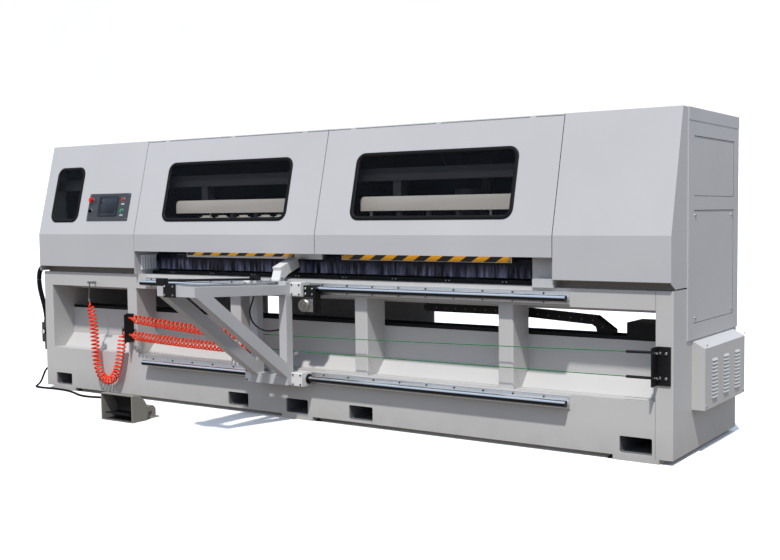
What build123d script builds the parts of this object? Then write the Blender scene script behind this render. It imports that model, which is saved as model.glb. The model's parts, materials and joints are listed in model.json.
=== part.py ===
from build123d import *
import math
import os

os.makedirs("parts", exist_ok=True)

# A sash milling machine: a long welded base, a sloped hood with two lift-up doors over a work throat,
# a milling unit that travels inside, and a support carriage that rolls along the front on two round rails.
# Millimetres. The origin is the middle of the footprint on the floor, +X runs to the machine's right end,
# +Y from the operator to the back and +Z up.

# Base
base_length = 5200.0
base_depth = 1120.0
base_height = 917.0
pad_height = 28.0
pad_width = 266.0
plate = 12.0
base_wall = 10.0
end_post = 100.0
rib_width = 100.0
rib_wall = 8.0
rib_round = 10.0
rib_inner = 540.0
rib_outer = 1588.0
bay_depth = 200.0
sill_height = 312.0
bay_height = 499.0
chute_start = 110.0
chute_rise = 100.0
shelf_height = 617.0
gap_height = 161.0

# Fork pockets, which run through the base from front to back
pocket_width = 188.0
pocket_height = 94.0
pocket_floor = 15.0
pocket_wall = 6.0
pocket_round = 10.0
pocket_inner = 530.0
pocket_outer = 2390.0

# Rear closing plates in the gap, given by their ends along X
closing_left_end = -1205.0
closing_mid_start = -1080.0
closing_mid_end = 400.0

# Hood
hood_overhang = 39.0
plinth_height = 48.0
plinth_setback = 50.0
throat_height = 173.0
crease_rise = 298.0
hood_rise = 697.0
hood_setback = 177.5
sheet = 4.0
seam = 5.0
left_panel_width = 1095.0
door_width = 1706.0
lid_setback = 209.0
lid_height = 70.0
lid_overhang = 10.0
window_width = 1172.0
window_height = 440.0
window_foot = 98.0
window_round = 65.0
pane = 5.0
small_window_width = 318.0
small_window_margin = 117.0

# Door hinges
hinge_radius = 6.0
hinge_pin_radius = 3.0
hinge_gap = 2.0
knuckle_length = 40.0
knuckle_gap = 0.5
hinge_spread = 650.0
running_fit = 0.05

# End covers and the louvred vent box on the right end
cover = 8.0
end_plate_gap = 8.0
end_plate_cut = 65.0
cover_foot_height = 628.0
cover_recess = 3.0
cover_margin = 90.0
upper_recess_foot = 1427.0
upper_recess_height = 333.0
lower_recess_foot = 718.0
lower_recess_height = 632.0
vent_depth = 76.0
vent_start = 300.0
vent_width = 747.0
vent_foot_height = 234.0
vent_height = 387.0
vent_slope_drop = 41.0
vent_wall = 3.0
louvre_columns = 3
louvre_rows = 11
louvre_spacing = 213.0
louvre_length = 86.0
louvre_rise = 12.0
louvre_proud = 9.0
louvre_pitch = 21.0
louvre_margin = 56.0

# Dust outlet on the back
dust_radius = 75.0
dust_wall = 3.0
dust_neck = 1.5
dust_neck_length = 6.0
dust_length = 100.0
dust_x = 1150.0
dust_height = 1480.0

# Control panel on the left slope
panel_start = 545.0
panel_width = 453.0
panel_height = 212.0
panel_foot = 106.0
panel_plate = 5.0
panel_round = 8.0
panel_cut_margin = 12.0
screen_width = 207.0
screen_height = 155.0
screen_start = 120.0
screen_foot = 37.0
screen_depth = 7.0
screen_bezel = 18.0
screen_sink = 1.5
left_button_x = 36.0
right_button_x = 382.0
high_button = 161.0
low_button = 75.0
button_radius = 11.0
button_proud = 7.0
button_stem = 24.0
collar_radius = 16.0
collar_height = 4.0
mushroom_radius = 20.0
mushroom_height = 12.0
mushroom_lift = 11.0
knob_radius = 14.0
knob_height = 8.0
grip_width = 8.0
grip_height = 12.0
grip_round = 2.0
button_fit = 0.08

# Throat
cheek = 6.0
cheek_depth = 240.0
throat_end = 1735.0
end_plate_setback = 60.0
stop_width = 134.0
stop_overhang = 20.0
table_setback = 140.0
table_depth = 120.0
table_height = 24.0
curtain_setback = 187.0
curtain = 3.0
curtain_foot_gap = 10.0
curtain_top = 143.0
strip_width = 48.0
strip_slit = 2.0
curtain_rail_depth = 15.0
curtain_rail_height = 20.0

# Press units above the throat
press_setback = 150.0
press_thick = 32.0
press_height = 80.0
press_lift = 128.0
press_length = 1270.0
press_seam_gap = 81.0
beam_length = 1390.0
left_beam_start = -1240.0
right_beam_start = 446.0
beam_depth = 90.0
beam_lift = 453.0
beam_height = 85.0
beam_wall = 6.0
guide_rod_radius = 10.0
guide_rod_length = 315.0
guide_rod_inset = 150.0
piston_radius = 8.0
piston_length = 200.0
cylinder_radius = 20.0
cylinder_length = 140.0
rod_setback = 170.0
tie_lift = 643.0
tie_size = 80.0
hanger_width = 60.0
hanger_inset = 250.0

# Milling unit inside the hood
gantry_setback = 640.0
gantry_depth = 200.0
gantry_lift = 68.0
gantry_height = 270.0
gantry_half = 2300.0
gantry_wall = 10.0
pedestal_width = 260.0
pedestal_spacing = 1900.0
mill_rail_width = 24.0
mill_rail_depth = 20.0
mill_rail_half = 1950.0
mill_rail_inset = 32.0
mill_x = 1150.0
mill_plate_width = 300.0
mill_plate = 30.0
mill_block_length = 100.0
mill_block_height = 60.0
mill_block_gap = 0.5
gear_module = 5.0
pinion_teeth = 18
pressure_angle = 20.0
backlash = 0.5
pinion_face = 28.0
pinion_width = 15.0
pinion_shaft_radius = 10.0
rack_back = 18.0
rack_start = -1560.0
rack_end = 1880.0
spindle_setback = 335.0
spindle_radius = 85.0
spindle_foot = 250.0
spindle_length = 330.0
spindle_nose_radius = 42.0
cutter_radius = 60.0
cutter_height = 90.0
cutter_lift = 34.0
cutter_knives = 6
knife_length = 20.0
knife_width = 7.0
arbor_radius = 16.0
arbor_length = 40.0
head_plate = 34.0
head_gap = 0.4
head_width = 210.0
head_arm_width = 120.0
head_arm_height = 150.0
way_width = 30.0
way_depth = 14.0
duct_radius = 205.0
duct_wall = 4.0
duct_length = 260.0
duct_rise = 855.0
duct_clear = 30.0
duct_post = 60.0

# Cable chain and its tray in the gap above the shelf
tray_height = 20.0
tray_sink = 80.0
tray_depth = 160.0
tray_wall = 3.0
chain_start = 880.0
chain_dip = 1500.0
chain_end = 2150.0
chain_nose = 110.0
chain_nose_rise = 45.0
chain_fall = 122.0
chain_crest = 154.0
chain_height = 52.0
chain_width = 70.0
chain_bend = 12.0
chain_setback = 260.0
chain_box_start = 2254.0
chain_box_height = 100.0
chain_box_depth = 240.0

# Front rails
rail_start = -1420.0
rail_end = 2000.0
upper_rail_height = 860.0
lower_rail_height = 265.0
shaft_radius = 20.0
shaft_reach = 55.0
rail_foot_half = 38.0
rail_foot_thick = 8.0
rail_web_half = 9.0

# Support carriage
carriage_x = -98.0
bracket_spacing = 253.0
tube_width = 63.0
column_front = 166.0
column_depth = 60.0
column_foot = 229.0
column_top = 912.0
beam_reach = 1000.0
carriage_beam_depth = 62.0
carriage_beam_rise = 889.0
beam_tilt = 2.68
strut_foot = 281.0
strut_angle = 35.4
strut_depth = 78.0
cross_tube_height = 66.0
block_length = 90.0
block_height = 90.0
block_front = 125.0
block_back = 32.0
block_clear = 4.0
brake_length = 90.0
brake_drop = 50.0
brake_rise = 26.0
brake_front = 96.0
valve_radius = 42.0
valve_depth = 46.0
valve_inset = 5.0
valve_gap = 12.0
valve_hanger = 10.0
axis_start = -189.0
axis_width = 93.0
axis_extra = 8.0
axis_rear = 90.0
axis_groove = 8.0
cap_thick = 14.0
cap_proud = 5.0
stub_depth = 63.0
side_rod_x = -232.0
side_rod_lift = 32.0
side_rod_radius = 8.0
side_block_width = 64.0
side_block_depth = 40.0
side_block_height = 46.0
rear_block_depth = 44.0

# Pusher saddle and clamp arm
saddle_start = -189.0
saddle_end = -28.0
saddle_front = 172.0
saddle_rear = 50.0
saddle_plate = 14.0
saddle_gap = 0.5
arm_start = -124.0
arm_width = 71.0
arm_height = 72.0
arm_length = 187.0
arm_tilt = 19.4
arm_wall = 5.0
arm_front = 83.0
arm_front_top = 999.0
pivot_front = 78.0
pivot_height = 915.0
pivot_radius = 8.0
lug_radius = 18.0
lug_width = 20.0
lug_gap = 0.5
pad_thick = 22.0
pad_length = 60.0

# Rope brackets and ropes
bracket_plate = 8.0
bracket_width = 78.0
bracket_foot = 407.0
bracket_height = 211.0
bracket_flange = 92.0
right_bracket_x = 2510.0
left_bracket_x = -1646.0
rope_radius = 2.5
rope_reach = 60.0
upper_rope_low = 557.0
lower_rope_low = 466.0
sleeve_radius = 8.0
sleeve_length = 150.0

# Curly air hoses
hose_radius = 6.0
curl_radius = 28.0
loop_curls = 36.5
upper_curls = 29.5
lower_curls = 33.5
curl_ramp = 1.5
hose_hang = 14.0
fitting_radius = 9.0
fitting_length = 26.0
port_length = 16.0
clip_gap = 0.6
clip_plate = 8.0
clip_margin = 12.0

# Air tee on the base front, air unit and glands on the left end
tee_x = -1985.0
tee_height = 846.0
tee_left = 18.0
tee_right = 66.0
tee_radius = 8.5
stem_radius = 5.0
stand_radius = 7.0
air_unit_width = 90.0
air_unit_reach = 76.0
air_unit_foot = 340.0
air_unit_height = 160.0
air_bowl_length = 60.0
air_unit_start = 20.0
conduit_radius = 20.0
cable_radius = 8.0
gland_radius = 13.0
gland_wall = 4.0
gland_length = 22.0
cable_exit_height = 131.0
cable_exit_setback = 60.0
cable_entry_height = 30.0
floor_gap = 0.3
air_hose_radius = 5.0
air_hose_fitting = 12.0

# Foot pedal on the floor in front of the base
pedal_x = -1000.0
pedal_width = 305.0
pedal_front = 690.0
pedal_rear = 440.0
pedal_hood_depth = 145.0
pedal_height = 185.0
pedal_wall = 8.0
pedal_floor = 8.0
pedal_knee = 70.0
pedal_tuck = 15.0
pedal_round = 8.0
pedal_box_width = 220.0
pedal_box_height = 85.0
pedal_box_chamfer = 22.0
pedal_box_start = 30.0
pedal_flange = 22.0
pedal_flange_thick = 8.0
pedal_recess = 10.0
pedal_recess_length = 40.0
pedal_recess_height = 34.0
pedal_recess_foot = 14.0
lever_width = 230.0
lever_thick = 8.0
lever_front_gap = 6.0
lever_pivot_setback = 115.0
lever_pivot_height = 36.0
lever_tip_height = 52.0
lever_pin_radius = 6.0
lever_eye_radius = 13.0

# Places worked out from the sizes
front = -base_depth / 2
rear = base_depth / 2
bottom = pad_height
base_top = bottom + base_height
end_x = base_length / 2
bay_x = end_x - end_post
bay_back = front + bay_depth
sill_top = bottom + sill_height
bay_top = sill_top + bay_height
shelf_top = bottom + shelf_height
box_top = shelf_top - tray_sink
gap_top = shelf_top + gap_height
pocket_base = bottom + pocket_floor
body_foot = pocket_base + pocket_height + pocket_wall
pocket_places = (-pocket_outer, -pocket_inner, 0.0, pocket_inner, pocket_outer)
rib_places = (-rib_outer, -rib_inner, rib_inner, rib_outer)
hood_front = front - hood_overhang
hood_foot = base_top + plinth_height
door_foot = base_top + throat_height
crease_z = base_top + crease_rise
hood_top = crease_z + hood_rise
top_front = hood_front + hood_setback
lid_front = front + lid_setback
lid_foot = hood_top - lid_height
left_seam = -end_x + left_panel_width
mid_seam = left_seam + door_width
right_seam = mid_seam + door_width
slope_length = math.hypot(hood_setback, hood_rise)
slope_up = Vector(0, hood_setback / slope_length, hood_rise / slope_length)
slope_out = Vector(0, -slope_up.Z, slope_up.Y)
upper_rail_z = bottom + upper_rail_height
lower_rail_z = bottom + lower_rail_height
shaft_y = front - shaft_reach


def block(x0, x1, y0, y1, z0, z1):
    """A box between two corners."""
    return Pos((x0 + x1) / 2, (y0 + y1) / 2, (z0 + z1) / 2) * Box(x1 - x0, y1 - y0, z1 - z0)


def prism(x0, x1, outline):
    """An outline of (y, z) points, extruded along X."""
    side = Plane((x0, 0, 0), x_dir=(0, 1, 0), z_dir=(1, 0, 0))
    return extrude(side * make_face(Polyline(*outline, close=True)), x1 - x0)


def crosswise(y0, y1, outline):
    """An outline of (x, z) points, extruded along Y."""
    side = Plane((0, y1, 0), x_dir=(1, 0, 0), z_dir=(0, -1, 0))
    return extrude(side * make_face(Polyline(*outline, close=True)), y1 - y0)


def rod(start, end, radius):
    """A round bar between two points."""
    run = Vector(*end) - Vector(*start)
    bar = Cylinder(radius, run.length, align=(Align.CENTER, Align.CENTER, Align.MIN))
    return Plane(start, z_dir=run) * bar


def solids_of(shapes):
    return [solid for shape in shapes for solid in shape.solids()]


def save(name, *shapes):
    """Writes one node, as one solid or as a group of separate solids."""
    solids = solids_of(shapes)
    export_step(solids[0] if len(solids) == 1 else Compound(solids), f"parts/{name}.step")


def slope_plane(x, along, out=0.0):
    """A plane on the hood's slope: x along the machine, y up the slope from the crease, z outward."""
    crease = Vector(x, hood_front, crease_z)
    return Plane(crease + slope_up * along + slope_out * out, x_dir=(1, 0, 0), z_dir=slope_out)


def slope_plate(x, along, width, height, corner, out, thick):
    """A plate with round corners lying on the slope, its back face at the given distance outward."""
    return extrude(slope_plane(x, along, out) * RectangleRounded(width, height, corner), thick)


def route(points, name):
    """A cord's line: straight runs joined by arcs as large as the runs allow."""
    places = [Vector(*point) for point in points]
    runs = [b - a for a, b in zip(places, places[1:])]
    radii = []
    for first, second in zip(runs, runs[1:]):
        half_turn = math.radians(first.get_angle(second)) / 2
        radii.append(0.45 * min(first.length, second.length) / math.tan(half_turn))
    print(name, "arc radii", [round(radius) for radius in radii])
    return FilletPolyline(*points, radius=radii)


def cord(points, radius, name):
    """A round cord along a route, with its volume set against section times length."""
    line = route(points, name)
    tube = sweep(Plane(line @ 0, z_dir=line % 0) * Circle(radius), path=line)
    share = tube.volume / (math.pi * radius**2 * line.length)
    print(name, "length", round(line.length), "volume share", round(share, 4))
    return tube


# Base


def pocket_bore(x, y0, y1):
    """The rounded passage of one fork pocket between two depths."""
    middle = pocket_base + pocket_height / 2
    mouth = Plane((x, y1, middle), x_dir=(1, 0, 0), z_dir=(0, -1, 0))
    return extrude(mouth * RectangleRounded(pocket_width, pocket_height, pocket_round), y1 - y0)


def pocketed_plate(y0, y1, top):
    """A cross plate along the base with the five fork pockets through it."""
    wall = block(-bay_x, bay_x, y0, y1, bottom, top)
    for x in pocket_places:
        wall -= pocket_bore(x, y0, y1)
    return wall


def fork_tube(x):
    half = pocket_width / 2 + pocket_wall
    tube = block(x - half, x + half, front + plate, rear - plate, bottom, body_foot)
    return tube - pocket_bore(x, front + plate, rear - plate)


def end_box(side):
    """A hollow end of the base, open underneath."""
    inner, outer = sorted((side * bay_x, side * end_x))
    shell = block(inner, outer, front, rear, bottom, base_top)
    shell = fillet(shell.edges().filter_by(Axis.Z).group_by(Axis.Y)[0], rib_round / 2)
    room = (inner + base_wall, outer - base_wall, front + base_wall, rear - base_wall)
    return shell - block(*room, bottom, base_top - base_wall)


def bay_outline(top):
    """The side shape of the niche between the front plate, the chute and the back wall."""
    chute_y = front + chute_start
    chute_end = (bay_back, sill_top + chute_rise)
    return [(front, sill_top), (chute_y, sill_top), chute_end, (bay_back, top), (front, top)]


def rib(x):
    """A channel-shaped rib between two bays, open towards the back."""
    channel = prism(x - rib_width / 2, x + rib_width / 2, bay_outline(bay_top))
    channel = fillet(channel.edges().filter_by(Axis.Z).group_by(Axis.Y)[0], rib_round)
    half = rib_width / 2 - rib_wall
    return channel - block(x - half, x + half, front + rib_wall, bay_back, sill_top, bay_top)


def chute():
    """The plates of the sill and of the chute that rises to the back wall, mitred together."""
    slant = chute_rise / (bay_depth - chute_start)
    drop = plate * math.hypot(1, slant)
    under = bay_back - (chute_rise + plate - drop) / slant
    chute_y = front + chute_start
    top = sill_top + chute_rise
    mitre = [(chute_y, sill_top), (under, sill_top - plate)]
    sill = prism(-bay_x, bay_x, mitre + [(front + plate, sill_top - plate), (front + plate, sill_top)])
    return [sill, prism(-bay_x, bay_x, mitre + [(bay_back, top - drop), (bay_back, top)])]


def box_girder(x0, x1, y0, y1, z0, z1, wall):
    """A rectangular tube along X, open at its ends."""
    inside = block(x0, x1, y0 + wall, y1 - wall, z0 + wall, z1 - wall)
    return block(x0, x1, y0, y1, z0, z1) - inside


def plate_girder(x0, x1, y0, y1, z0, z1, wall):
    """A rectangular tube along X, welded from four plates."""
    plates = [block(x0, x1, y0, y1, z0, z0 + wall), block(x0, x1, y0, y1, z1 - wall, z1)]
    webs = [(y0, y0 + wall), (y1 - wall, y1)]
    return plates + [block(x0, x1, *web, z0 + wall, z1 - wall) for web in webs]


def deck():
    """The hollow top of the base, which steps up over the bays."""
    outer = [(front, bay_top), (bay_back, bay_top), (bay_back, gap_top)]
    outer += [(rear, gap_top), (rear, base_top), (front, base_top)]
    near, far, high = front + base_wall, rear - base_wall, base_top - base_wall
    step, low = bay_back + base_wall, gap_top + base_wall
    inner = [(near, bay_top + base_wall), (step, bay_top + base_wall), (step, low)]
    inner += [(far, low), (far, high), (near, high)]
    return prism(-bay_x, bay_x, outer) - prism(-bay_x, bay_x, inner)


def closing_plate(x0, x1):
    return block(x0, x1, rear - plate, rear, box_top, gap_top)


def rear_box():
    """The four plates of the rear box. Its front wall rises past its top, to hold the cable tray."""
    ends = (-bay_x, bay_x)
    low = body_foot + base_wall
    step = bay_back + base_wall
    floor_plate = block(*ends, bay_back, rear, body_foot, low)
    front_wall = block(*ends, bay_back, step, low, shelf_top)
    top_plate = block(*ends, step, rear, box_top - base_wall, box_top)
    rear_wall = block(*ends, rear - base_wall, rear, low, box_top - base_wall)
    return [floor_plate, front_wall, top_plate, rear_wall]


save("base_front_plate", pocketed_plate(front, front + plate, sill_top))
save("base_ends", end_box(-1), end_box(1))
save("base_ribs", *[rib(x) for x in rib_places])
save("base_body", *rear_box(), *chute())
save("base_deck", deck())
save("fork_pockets", *[fork_tube(x) for x in pocket_places])
pads = [block(x - pad_width / 2, x + pad_width / 2, front, rear, 0, bottom) for x in pocket_places[::2]]
save("sole_plates", *pads)
closings = [closing_plate(-bay_x, closing_left_end), closing_plate(closing_mid_start, closing_mid_end)]
save("base_rear_plates", pocketed_plate(rear - plate, rear, body_foot), *closings)


# Cable chain in its tray


def tray():
    y0 = bay_back + base_wall
    y1 = y0 + tray_depth
    rim = shelf_top + tray_height
    trough = block(-bay_x, chain_box_start, y0, y1, box_top, rim)
    inside = (y0 + tray_wall, y1 - tray_wall)
    return trough - block(-bay_x, chain_box_start, *inside, box_top + tray_wall, rim)


def chain():
    """The folded chain: a lower run in the tray, a blunt nose and an upper run that dips towards it."""
    floor = box_top + tray_wall
    lower_top = floor + chain_height
    bend_x = chain_end - chain_nose
    crest = shelf_top + chain_crest
    y0 = front + chain_setback
    top = [(chain_start, crest), (chain_dip, crest), (bend_x, shelf_top + chain_fall)]
    nose = [(chain_end, shelf_top + chain_nose_rise)]
    nose += [(chain_end, floor + chain_bend), (chain_end - chain_bend, floor)]
    lower_run = [(chain_start, floor), (chain_start, lower_top), (bend_x + 2 * chain_bend, lower_top)]
    under = [(x, z - chain_height) for x, z in reversed(top)]
    return crosswise(y0, y0 + chain_width, top + nose + lower_run + under)


def chain_box():
    """The black box beside the nose, in which the cables end."""
    y0 = bay_back + base_wall
    y1 = y0 + chain_box_depth
    return block(chain_box_start, bay_x, y0, y1, box_top, shelf_top + chain_box_height)


save("cable_chain", tray(), chain(), chain_box())


# Front rails


def rail_shaft(z):
    return rod((rail_start, shaft_y, z), (rail_end, shaft_y, z), shaft_radius)


def rail_support(z):
    """An aluminium rail foot whose web ends in a saddle under the shaft."""
    foot = front - rail_foot_thick
    outline = [(front, z - rail_foot_half), (foot, z - rail_foot_half), (foot, z - rail_web_half)]
    outline += [(shaft_y, z - rail_web_half), (shaft_y, z + rail_web_half), (foot, z + rail_web_half)]
    outline += [(foot, z + rail_foot_half), (front, z + rail_foot_half)]
    return prism(rail_start, rail_end, outline) - rail_shaft(z)


rail_heights = (lower_rail_z, upper_rail_z)
save("rail_supports", *[rail_support(z) for z in rail_heights])
save("rail_shafts", *[rail_shaft(z) for z in rail_heights])


# Hood

hinge_y = top_front + hinge_radius * (1 - slope_out.Z) / -slope_out.Y
hinge_z = hood_top - hinge_radius
strip_front = hinge_y + hinge_radius + hinge_gap
hinge_along = slope_length + slope_up.Y * (hinge_y - top_front) - slope_up.Z * hinge_radius
inner_front = hood_front + sheet
inner_crease = crease_z - sheet * (1 + slope_out.Y) / slope_out.Z
inner_top_y = top_front + sheet * (1 - slope_out.Z) / -slope_out.Y
window_middle = window_foot + window_height / 2
door_places = ((left_seam + mid_seam) / 2, (mid_seam + right_seam) / 2)
hinge_places = (-hinge_spread, 0.0, hinge_spread)


def fixed_sheet(x0, x1):
    """A bent front sheet that stays in place, with its top folded back to meet the roof."""
    outer = [(hood_front, hood_foot), (hood_front, crease_z), (top_front, hood_top), (strip_front, hood_top)]
    inner = [(strip_front, hood_top - sheet), (inner_top_y, hood_top - sheet)]
    inner += [(inner_front, inner_crease), (inner_front, hood_foot)]
    return prism(x0, x1, outer + inner)


def window_cut(x, width):
    return slope_plate(x, window_middle, width, window_height, window_round, -2 * sheet, 3 * sheet)


def window_pane(x, width):
    return slope_plate(x, window_middle, width, window_height, window_round, -pane, pane)


def knuckle(x0, x1, bore):
    barrel = rod((x0, hinge_y, hinge_z), (x1, hinge_y, hinge_z), hinge_radius)
    return barrel - rod((x0, hinge_y, hinge_z), (x1, hinge_y, hinge_z), bore)


def door_sheet(x):
    """A lift-up door: a bent sheet with its window, hung on three knuckles at the top."""
    x0 = x - door_width / 2 + seam / 2
    x1 = x + door_width / 2 - seam / 2
    end_along = hinge_along - hinge_radius - hinge_gap
    top = slope_plane(0, end_along).origin
    under = slope_plane(0, end_along, -sheet).origin
    outline = [(hood_front, door_foot), (hood_front, crease_z), (top.Y, top.Z), (under.Y, under.Z)]
    door = prism(x0, x1, outline + [(inner_front, inner_crease), (inner_front, door_foot)])
    door -= window_cut(x, window_width)
    bore = hinge_pin_radius + running_fit
    for place in hinge_places:
        k0 = x + place - knuckle_length / 2
        k1 = x + place + knuckle_length / 2
        reach = hinge_along - end_along
        tongue = slope_plate(x + place, end_along + reach / 2, knuckle_length, reach, 0.1, -sheet, sheet)
        bored = tongue - rod((k0, hinge_y, hinge_z), (k1, hinge_y, hinge_z), hinge_radius - running_fit)
        door += bored + knuckle(k0, k1, bore)
    return door


def fixed_barrels(x):
    """The ends of the fixed barrels of one door, which fill the hinge between the door's knuckles."""
    half = door_width / 2 - seam / 2
    marks = [x - half]
    for place in hinge_places:
        for side in (-1, 1):
            marks.append(x + place + side * (knuckle_length / 2 + knuckle_gap))
    marks.append(x + half)
    return zip(marks[::2], marks[1::2])


def roof_strip():
    """The front edge of the roof with the fixed barrels of both doors."""
    strip = block(-end_x, end_x, strip_front, lid_front, hood_top - sheet, hood_top)
    for x in door_places:
        for k0, k1 in fixed_barrels(x):
            tongue = block(k0, k1, hinge_y, strip_front, hood_top - sheet, hood_top)
            tongue -= rod((k0, hinge_y, hinge_z), (k1, hinge_y, hinge_z), hinge_radius - running_fit)
            strip += tongue + knuckle(k0, k1, hinge_pin_radius)
    return strip


def hinge_pin(x):
    half = 1.5 * knuckle_length + knuckle_gap
    return rod((x - half, hinge_y, hinge_z), (x + half, hinge_y, hinge_z), hinge_pin_radius)


def lid():
    """The shallow lid over the rear cabinet, open underneath: its top, its lips and its ends."""
    x = end_x + lid_overhang
    under = hood_top - sheet
    lips = [block(-x, x, y, y + sheet, lid_foot, under) for y in (lid_front, rear - sheet)]
    inner = (lid_front + sheet, rear - sheet, lid_foot, under)
    ends = [block(start, start + sheet, *inner) for start in (-x, x - sheet)]
    return [block(-x, x, lid_front, rear, under, hood_top)] + lips + ends


def front_end(side):
    """The end plate that closes the sloped front of the hood, down to a narrow gap over the base."""
    x0, x1 = sorted((side * end_x, side * (end_x - sheet)))
    roof_z = hood_top - sheet
    foot = base_top + end_plate_gap
    cut = end_plate_cut if side > 0 else 0
    outline = [(inner_front, foot + cut / 2), (inner_front, inner_crease), (inner_top_y, roof_z)]
    outline += [(lid_front, roof_z), (lid_front, foot), (inner_front + cut, foot)]
    return prism(x0, x1, outline if cut else outline[:-1])


def end_cover(side):
    """The cover on one end of the rear cabinet, with two shallow recesses pressed into it."""
    x0, x1 = sorted((side * end_x, side * (end_x + cover)))
    shell = block(x0, x1, lid_front, rear, bottom + cover_foot_height, lid_foot)
    face0, face1 = sorted((side * (end_x + cover - cover_recess), side * (end_x + cover)))
    y0, y1 = lid_front + cover_margin, rear - cover_margin
    for foot, height in ((upper_recess_foot, upper_recess_height), (lower_recess_foot, lower_recess_height)):
        shell -= block(face0, face1, y0, y1, bottom + foot, bottom + foot + height)
    return shell


def control_cut():
    middle = panel_foot + panel_height / 2
    size = (panel_width - 2 * panel_cut_margin, panel_height - 2 * panel_cut_margin)
    return slope_plate(panel_middle, middle, *size, panel_round, -2 * sheet, 3 * sheet)


small_window_x = -end_x + small_window_margin + small_window_width / 2
panel_left = -end_x + panel_start
panel_middle = panel_left + panel_width / 2
left_sheet = fixed_sheet(-end_x, left_seam - seam / 2) - window_cut(small_window_x, small_window_width)
save("hood_panels", left_sheet - control_cut(), fixed_sheet(right_seam + seam / 2, end_x))
save("left_door", door_sheet(door_places[0]))
save("right_door", door_sheet(door_places[1]))
save("left_window", window_pane(door_places[0], window_width))
save("right_window", window_pane(door_places[1], window_width))
save("hood_window", window_pane(small_window_x, small_window_width))
save("hinge_pins", *[hinge_pin(x + place) for x in door_places for place in hinge_places])
save("roof", roof_strip(), *lid())
save("hood_ends", front_end(-1), front_end(1), end_cover(-1), end_cover(1))


def rear_panel(x0, x1):
    return block(x0 + seam / 2, x1 - seam / 2, rear - sheet, rear, base_top, lid_foot)


def dust_rod(radius, start, end):
    z = bottom + dust_height
    return rod((dust_x, start, z), (dust_x, end, z), radius)


dust_end = rear + dust_length
neck_end = rear + dust_neck_length
dust_hole = dust_rod(dust_radius - dust_neck, rear - sheet, neck_end)
dust_spigot = dust_hole + dust_rod(dust_radius, neck_end, dust_end)
dust_spigot -= dust_rod(dust_radius - dust_wall, rear - sheet, dust_end)
rear_thirds = [-end_x + base_length * third / 3 for third in range(4)]
rear_sheets = [rear_panel(x0, x1) - dust_hole for x0, x1 in zip(rear_thirds, rear_thirds[1:])]
save("rear_panels", *rear_sheets, dust_spigot)


def vent():
    """The box on the right end with a sloped top and rows of pressed louvres."""
    y0 = front + vent_start
    y1 = y0 + vent_width
    z0 = bottom + vent_foot_height
    z1 = z0 + vent_height
    x1 = end_x + vent_depth
    face_top = z1 - vent_slope_drop
    outline = [(end_x, z0), (x1, z0), (x1, face_top), (end_x, z1)]
    inner = [(end_x, z0 + vent_wall), (x1 - vent_wall, z0 + vent_wall)]
    inner += [(x1 - vent_wall, face_top - vent_wall), (end_x, z1 - vent_wall)]
    box = crosswise(y0, y1, outline) - crosswise(y0 + vent_wall, y1 - vent_wall, inner)
    middle = (y0 + y1) / 2
    for column in range(louvre_columns):
        start = middle + (column - (louvre_columns - 1) / 2) * louvre_spacing - louvre_length / 2
        for row in range(louvre_rows):
            foot = z0 + louvre_margin + row * louvre_pitch
            wedge = [(x1, foot), (x1 + louvre_proud, foot), (x1, foot + louvre_rise)]
            box += crosswise(start, start + louvre_length, wedge)
    return box


save("vent_box", vent())


# Throat


def plinth(x0, x1):
    """The set-back riser under a fixed front sheet, with the hood's floor on top."""
    riser = front + plinth_setback
    outline = [(inner_front, hood_foot - sheet), (inner_front, hood_foot), (riser + plate, hood_foot)]
    return prism(x0, x1, outline + [(riser + plate, base_top), (riser, base_top), (riser, hood_foot - sheet)])


curtain_y = front + curtain_setback
curtain_foot = base_top + table_height + curtain_foot_gap
curtain_head = base_top + curtain_top
cheek_back = inner_front + cheek_depth
end_plate_y = front + end_plate_setback
cheek_end = throat_end + cheek
left_cheek = block(left_seam - cheek, left_seam, inner_front, cheek_back, base_top, inner_crease)
right_cheek = block(throat_end, cheek_end, end_plate_y, cheek_back, base_top, inner_crease)
end_plate = block(cheek_end, right_seam, end_plate_y, end_plate_y + cheek, base_top, inner_crease)
rail_y = curtain_y + curtain
rail_foot = curtain_head - curtain_rail_height
curtain_rail = block(left_seam, throat_end, rail_y, rail_y + curtain_rail_depth, rail_foot, curtain_head)
stop_y = front - stop_overhang
stop_block = block(right_seam - stop_width, right_seam, stop_y, end_plate_y, base_top, hood_foot)
plinths = [plinth(-end_x + sheet, left_seam - cheek), plinth(right_seam, end_x - sheet)]
save("throat_frame", left_cheek, right_cheek, end_plate, curtain_rail, stop_block, *plinths)
table_y = front + table_setback
table_top = base_top + table_height
save("table_bar", block(left_seam, throat_end, table_y, table_y + table_depth, base_top, table_top))


def curtain_comb():
    """Hanging strips slit from one sheet, which stays whole along the rail."""
    comb = block(left_seam, throat_end, curtain_y, rail_y, curtain_foot, curtain_head)
    pitch = strip_width + strip_slit
    count = int((throat_end - left_seam) / pitch)
    places = [left_seam + pitch * (index + 1) for index in range(count)]
    inside = [x for x in places if x < throat_end]
    return comb - [block(x - strip_slit, x, curtain_y, rail_y, curtain_foot, rail_foot) for x in inside]


save("strip_curtain", curtain_comb())

# Press units

press_y = front + press_setback
press_foot = base_top + press_lift
press_top = press_foot + press_height
beam_foot = base_top + beam_lift
beam_top = beam_foot + beam_height
tie_foot = base_top + tie_lift
rod_y = front + rod_setback
press_starts = (mid_seam - press_seam_gap - press_length, mid_seam + press_seam_gap)
beam_starts = (left_beam_start, right_beam_start)


def press_rods(start):
    """Where the two guide rods and three pistons of a press bar stand along X."""
    guides = (start + guide_rod_inset + press_seam_gap, start + press_length - guide_rod_inset)
    step = (guides[1] - guides[0]) / 4
    return guides, [guides[0] + step * place for place in (1, 2, 3)]


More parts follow.
